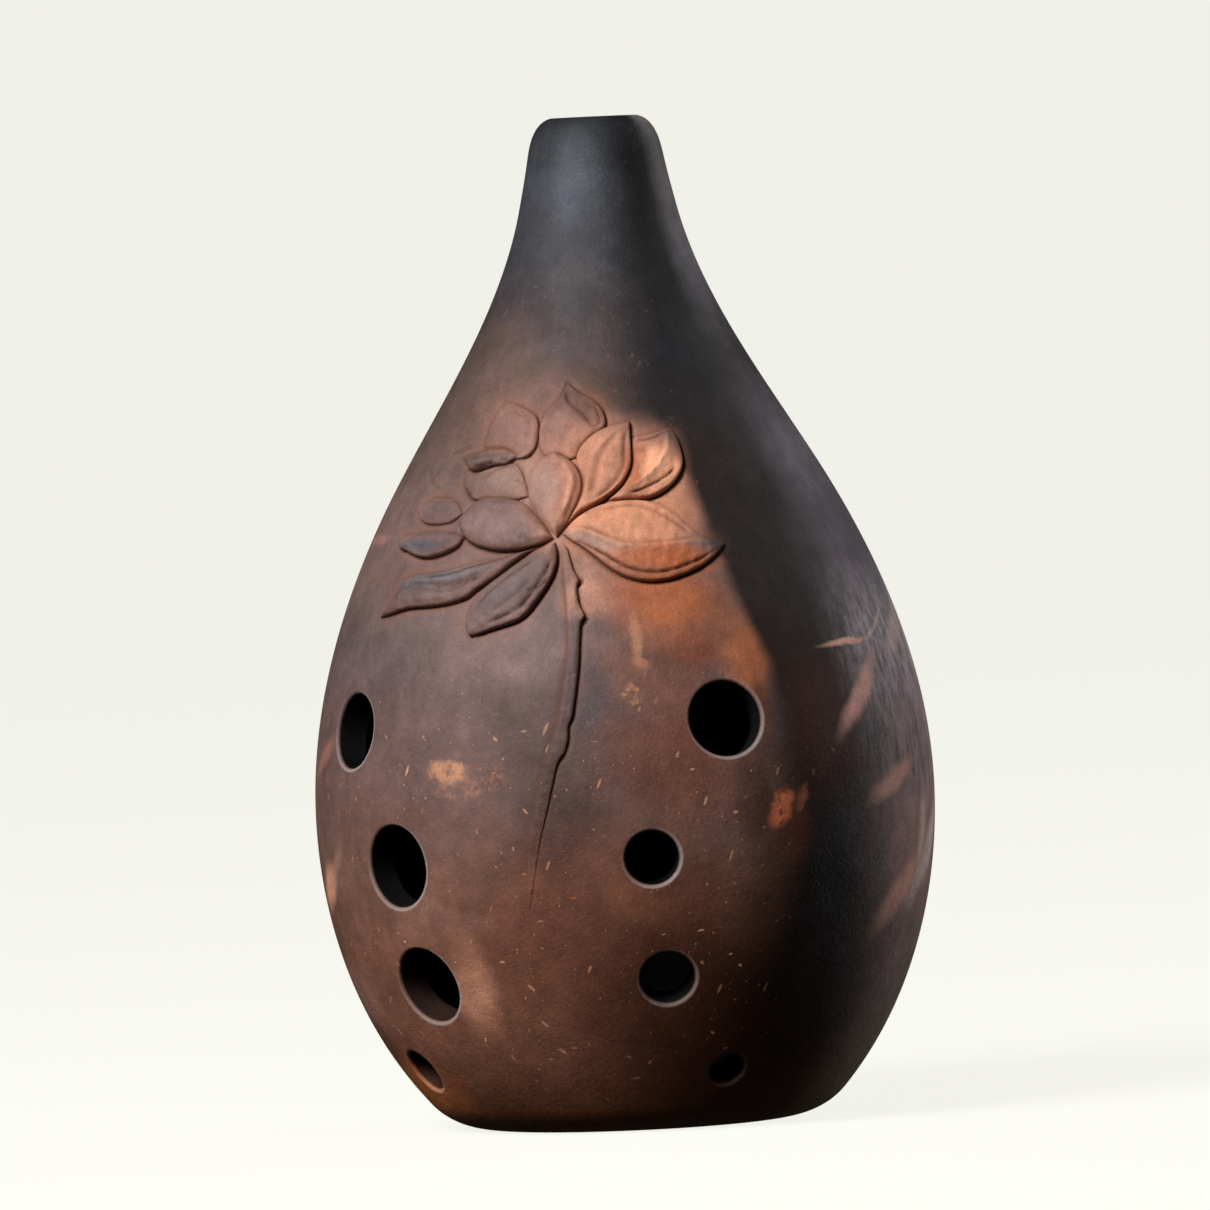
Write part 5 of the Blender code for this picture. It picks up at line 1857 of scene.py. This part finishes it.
@dataclass
class Studio:
    """A pale sweep all round, a soft light on the left and a strip behind on the right."""

    sweep_radius: float = 4.2
    sweep_bend: float = 1.2
    sweep_height: float = 4.5
    sides: int = 96
    paper: str = "#f4f4ec"
    fill: float = 0.03
    # Each light's name, azimuth, elevation, width, height and watts
    lights: tuple[tuple[str, float, float, float, float, float], ...] = (
        ("key_light", -18.0, 36.0, 0.5, 0.5, 15.6),
        ("rim_light", 138.0, 12.0, 0.4, 1.4, 5.0),
    )
    light_distance: float = 1.1
    light_target: float = 0.07

    def build(self) -> None:
        """Build the sweep, the lights and the surrounding glow."""
        self.sweep()
        for light in self.lights:
            self.soft_light(*light)
        world = bpy.data.worlds.new("studio_air")
        bpy.context.scene.world = world
        world.use_nodes = True
        backdrop = world.node_tree.nodes["Background"]
        backdrop.inputs["Color"].default_value = linear(self.paper)
        backdrop.inputs["Strength"].default_value = self.fill
        view = bpy.context.scene.view_settings
        view.view_transform = "Standard"
        view.look = "None"

    def sweep(self) -> None:
        """Build the floor and the wall that it bends up into, as one pale sheet."""
        flat = self.sweep_radius - self.sweep_bend
        path = [(0.4, 0.0), (1.2, 0.0)]
        for turn in np.linspace(0.0, math.pi / 2, 13):
            rise = self.sweep_bend * (1.0 - math.cos(turn))
            path.append((flat + self.sweep_bend * math.sin(turn), rise))
        path.append((self.sweep_radius, self.sweep_height))
        turns = FULL_TURN * np.arange(self.sides) / self.sides
        points = [(0.0, 0.0, 0.0)]
        for radius, height in path:
            points += [(radius * math.sin(t), radius * math.cos(t), height) for t in turns]
        grid = 1 + np.arange(len(points) - 1).reshape(len(path), self.sides)
        beside = np.roll(grid, -1, axis=1)
        quads = np.stack([grid[:-1], beside[:-1], beside[1:], grid[1:]], axis=-1)
        faces = [(0, b, a) for a, b in zip(grid[0].tolist(), beside[0].tolist())]
        mesh = bpy.data.meshes.new("paper_sweep")
        mesh.from_pydata(points, [], faces + quads.reshape(-1, 4).tolist())
        mesh.shade_smooth()
        sheet = bpy.data.objects.new("paper_sweep", mesh)
        bpy.context.scene.collection.objects.link(sheet)
        material = bpy.data.materials.new("matt_paper")
        material.use_nodes = True
        shader = material.node_tree.nodes["Principled BSDF"]
        tone = linear(self.paper)
        settings = {
            "Base Color": tuple(c * 0.15 for c in tone[:3]) + (1.0,), "Roughness": 1.0,
            "Specular IOR Level": 0.0, "Emission Color": tone, "Emission Strength": 0.96,
        }
        for socket, value in settings.items():
            shader.inputs[socket].default_value = value
        mesh.materials.append(material)
        sheet.visible_diffuse = False
        sheet.visible_glossy = False

    def soft_light(
        self, name: str, azimuth: float, elevation: float, width: float, height: float, watts: float
    ) -> None:
        """Hang a softbox that looks at the middle of the pot.

        Args:
            name: Its name.
            azimuth: Degrees from the front.
            elevation: Degrees above the floor.
            width: Its width in metres.
            height: Its height in metres.
            watts: Its power.
        """
        data = bpy.data.lights.new(name, "AREA")
        data.shape = "RECTANGLE"
        data.size, data.size_y = width, height
        data.energy = watts
        lamp = bpy.data.objects.new(name, data)
        bpy.context.scene.collection.objects.link(lamp)
        away = direction(azimuth, elevation)
        lamp.location = Vector((0.0, 0.0, self.light_target)) + away * self.light_distance
        lamp.rotation_euler = away.to_track_quat("Z", "Y").to_euler()
        lamp.visible_camera = False


@dataclass
class PhotoCamera:
    """The camera, where the photograph's stood."""

    azimuth: float = 21.0
    elevation: float = 2.0
    roll: float = 2.65
    distance: float = 2.5
    target_height: float = 0.0683
    pixels_per_mm: float = 7.3
    frame_side: float = 1210.0
    target_pixel: tuple[float, float] = (616.85, 623.5)
    sensor: float = 36.0

    def build(self) -> None:
        """Set the camera up and make it the scene's."""
        back = direction(self.azimuth, self.elevation)
        turn = math.radians(self.azimuth)
        level = Vector((math.cos(turn), math.sin(turn), 0.0))
        upright = back.cross(level)
        roll = math.radians(self.roll)
        right = level * math.cos(roll) - upright * math.sin(roll)
        up = level * math.sin(roll) + upright * math.cos(roll)
        pixel = MM / self.pixels_per_mm
        aside, below = ((at - self.frame_side / 2.0) * pixel for at in self.target_pixel)
        aim = Vector((0.0, 0.0, self.target_height)) - right * aside + up * below
        data = bpy.data.cameras.new("photo_camera")
        data.sensor_width = self.sensor
        data.lens = self.sensor * self.distance / (self.frame_side * pixel)
        data.clip_start = 0.05
        data.clip_end = 30.0
        camera = bpy.data.objects.new("photo_camera", data)
        bpy.context.scene.collection.objects.link(camera)
        axes = Matrix((right, up, back)).transposed()
        camera.matrix_world = Matrix.Translation(aim + back * self.distance) @ axes.to_4x4()
        bpy.context.scene.camera = camera


def dress(solid: bpy.types.Object, node: str, clay: bpy.types.Material) -> None:
    """Give a piece its clay and its place on the part.

    Args:
        solid: The piece.
        node: The CAD node that it stands for.
        clay: The finish.
    """
    solid.data.materials.append(clay)
    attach(solid, BODY)
    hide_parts(node)
    log.info("%s: %d faces, stands for %s", solid.name, len(solid.data.polygons), node)


def main() -> None:
    """Build the pot, its finish, the studio and the camera."""
    logging.basicConfig(level=logging.INFO, format="%(name)s: %(message)s")
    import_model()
    PhotoCamera().build()
    outline = BodyOutline()
    relief = LotusRelief(outline)
    skin = OuterSkin(outline, relief)
    clay = SmokeFiredClay(outline).make()
    halves = (
        WallHalf(skin, Piece.FRONT, "front_wall", "front_shell", "front_clay"),
        WallHalf(skin, Piece.BACK, "back_wall", "back_shell", "back_clay"),
    )
    for member in halves + (FootSlab(skin), MouthRim(skin)):
        dress(member.build(), member.node, clay)
    for index, form in enumerate(PETALS):
        dress(LaidPetal(relief, index).build(), form.node, clay)
    Studio().build()


if __name__ == "__main__":
    main()
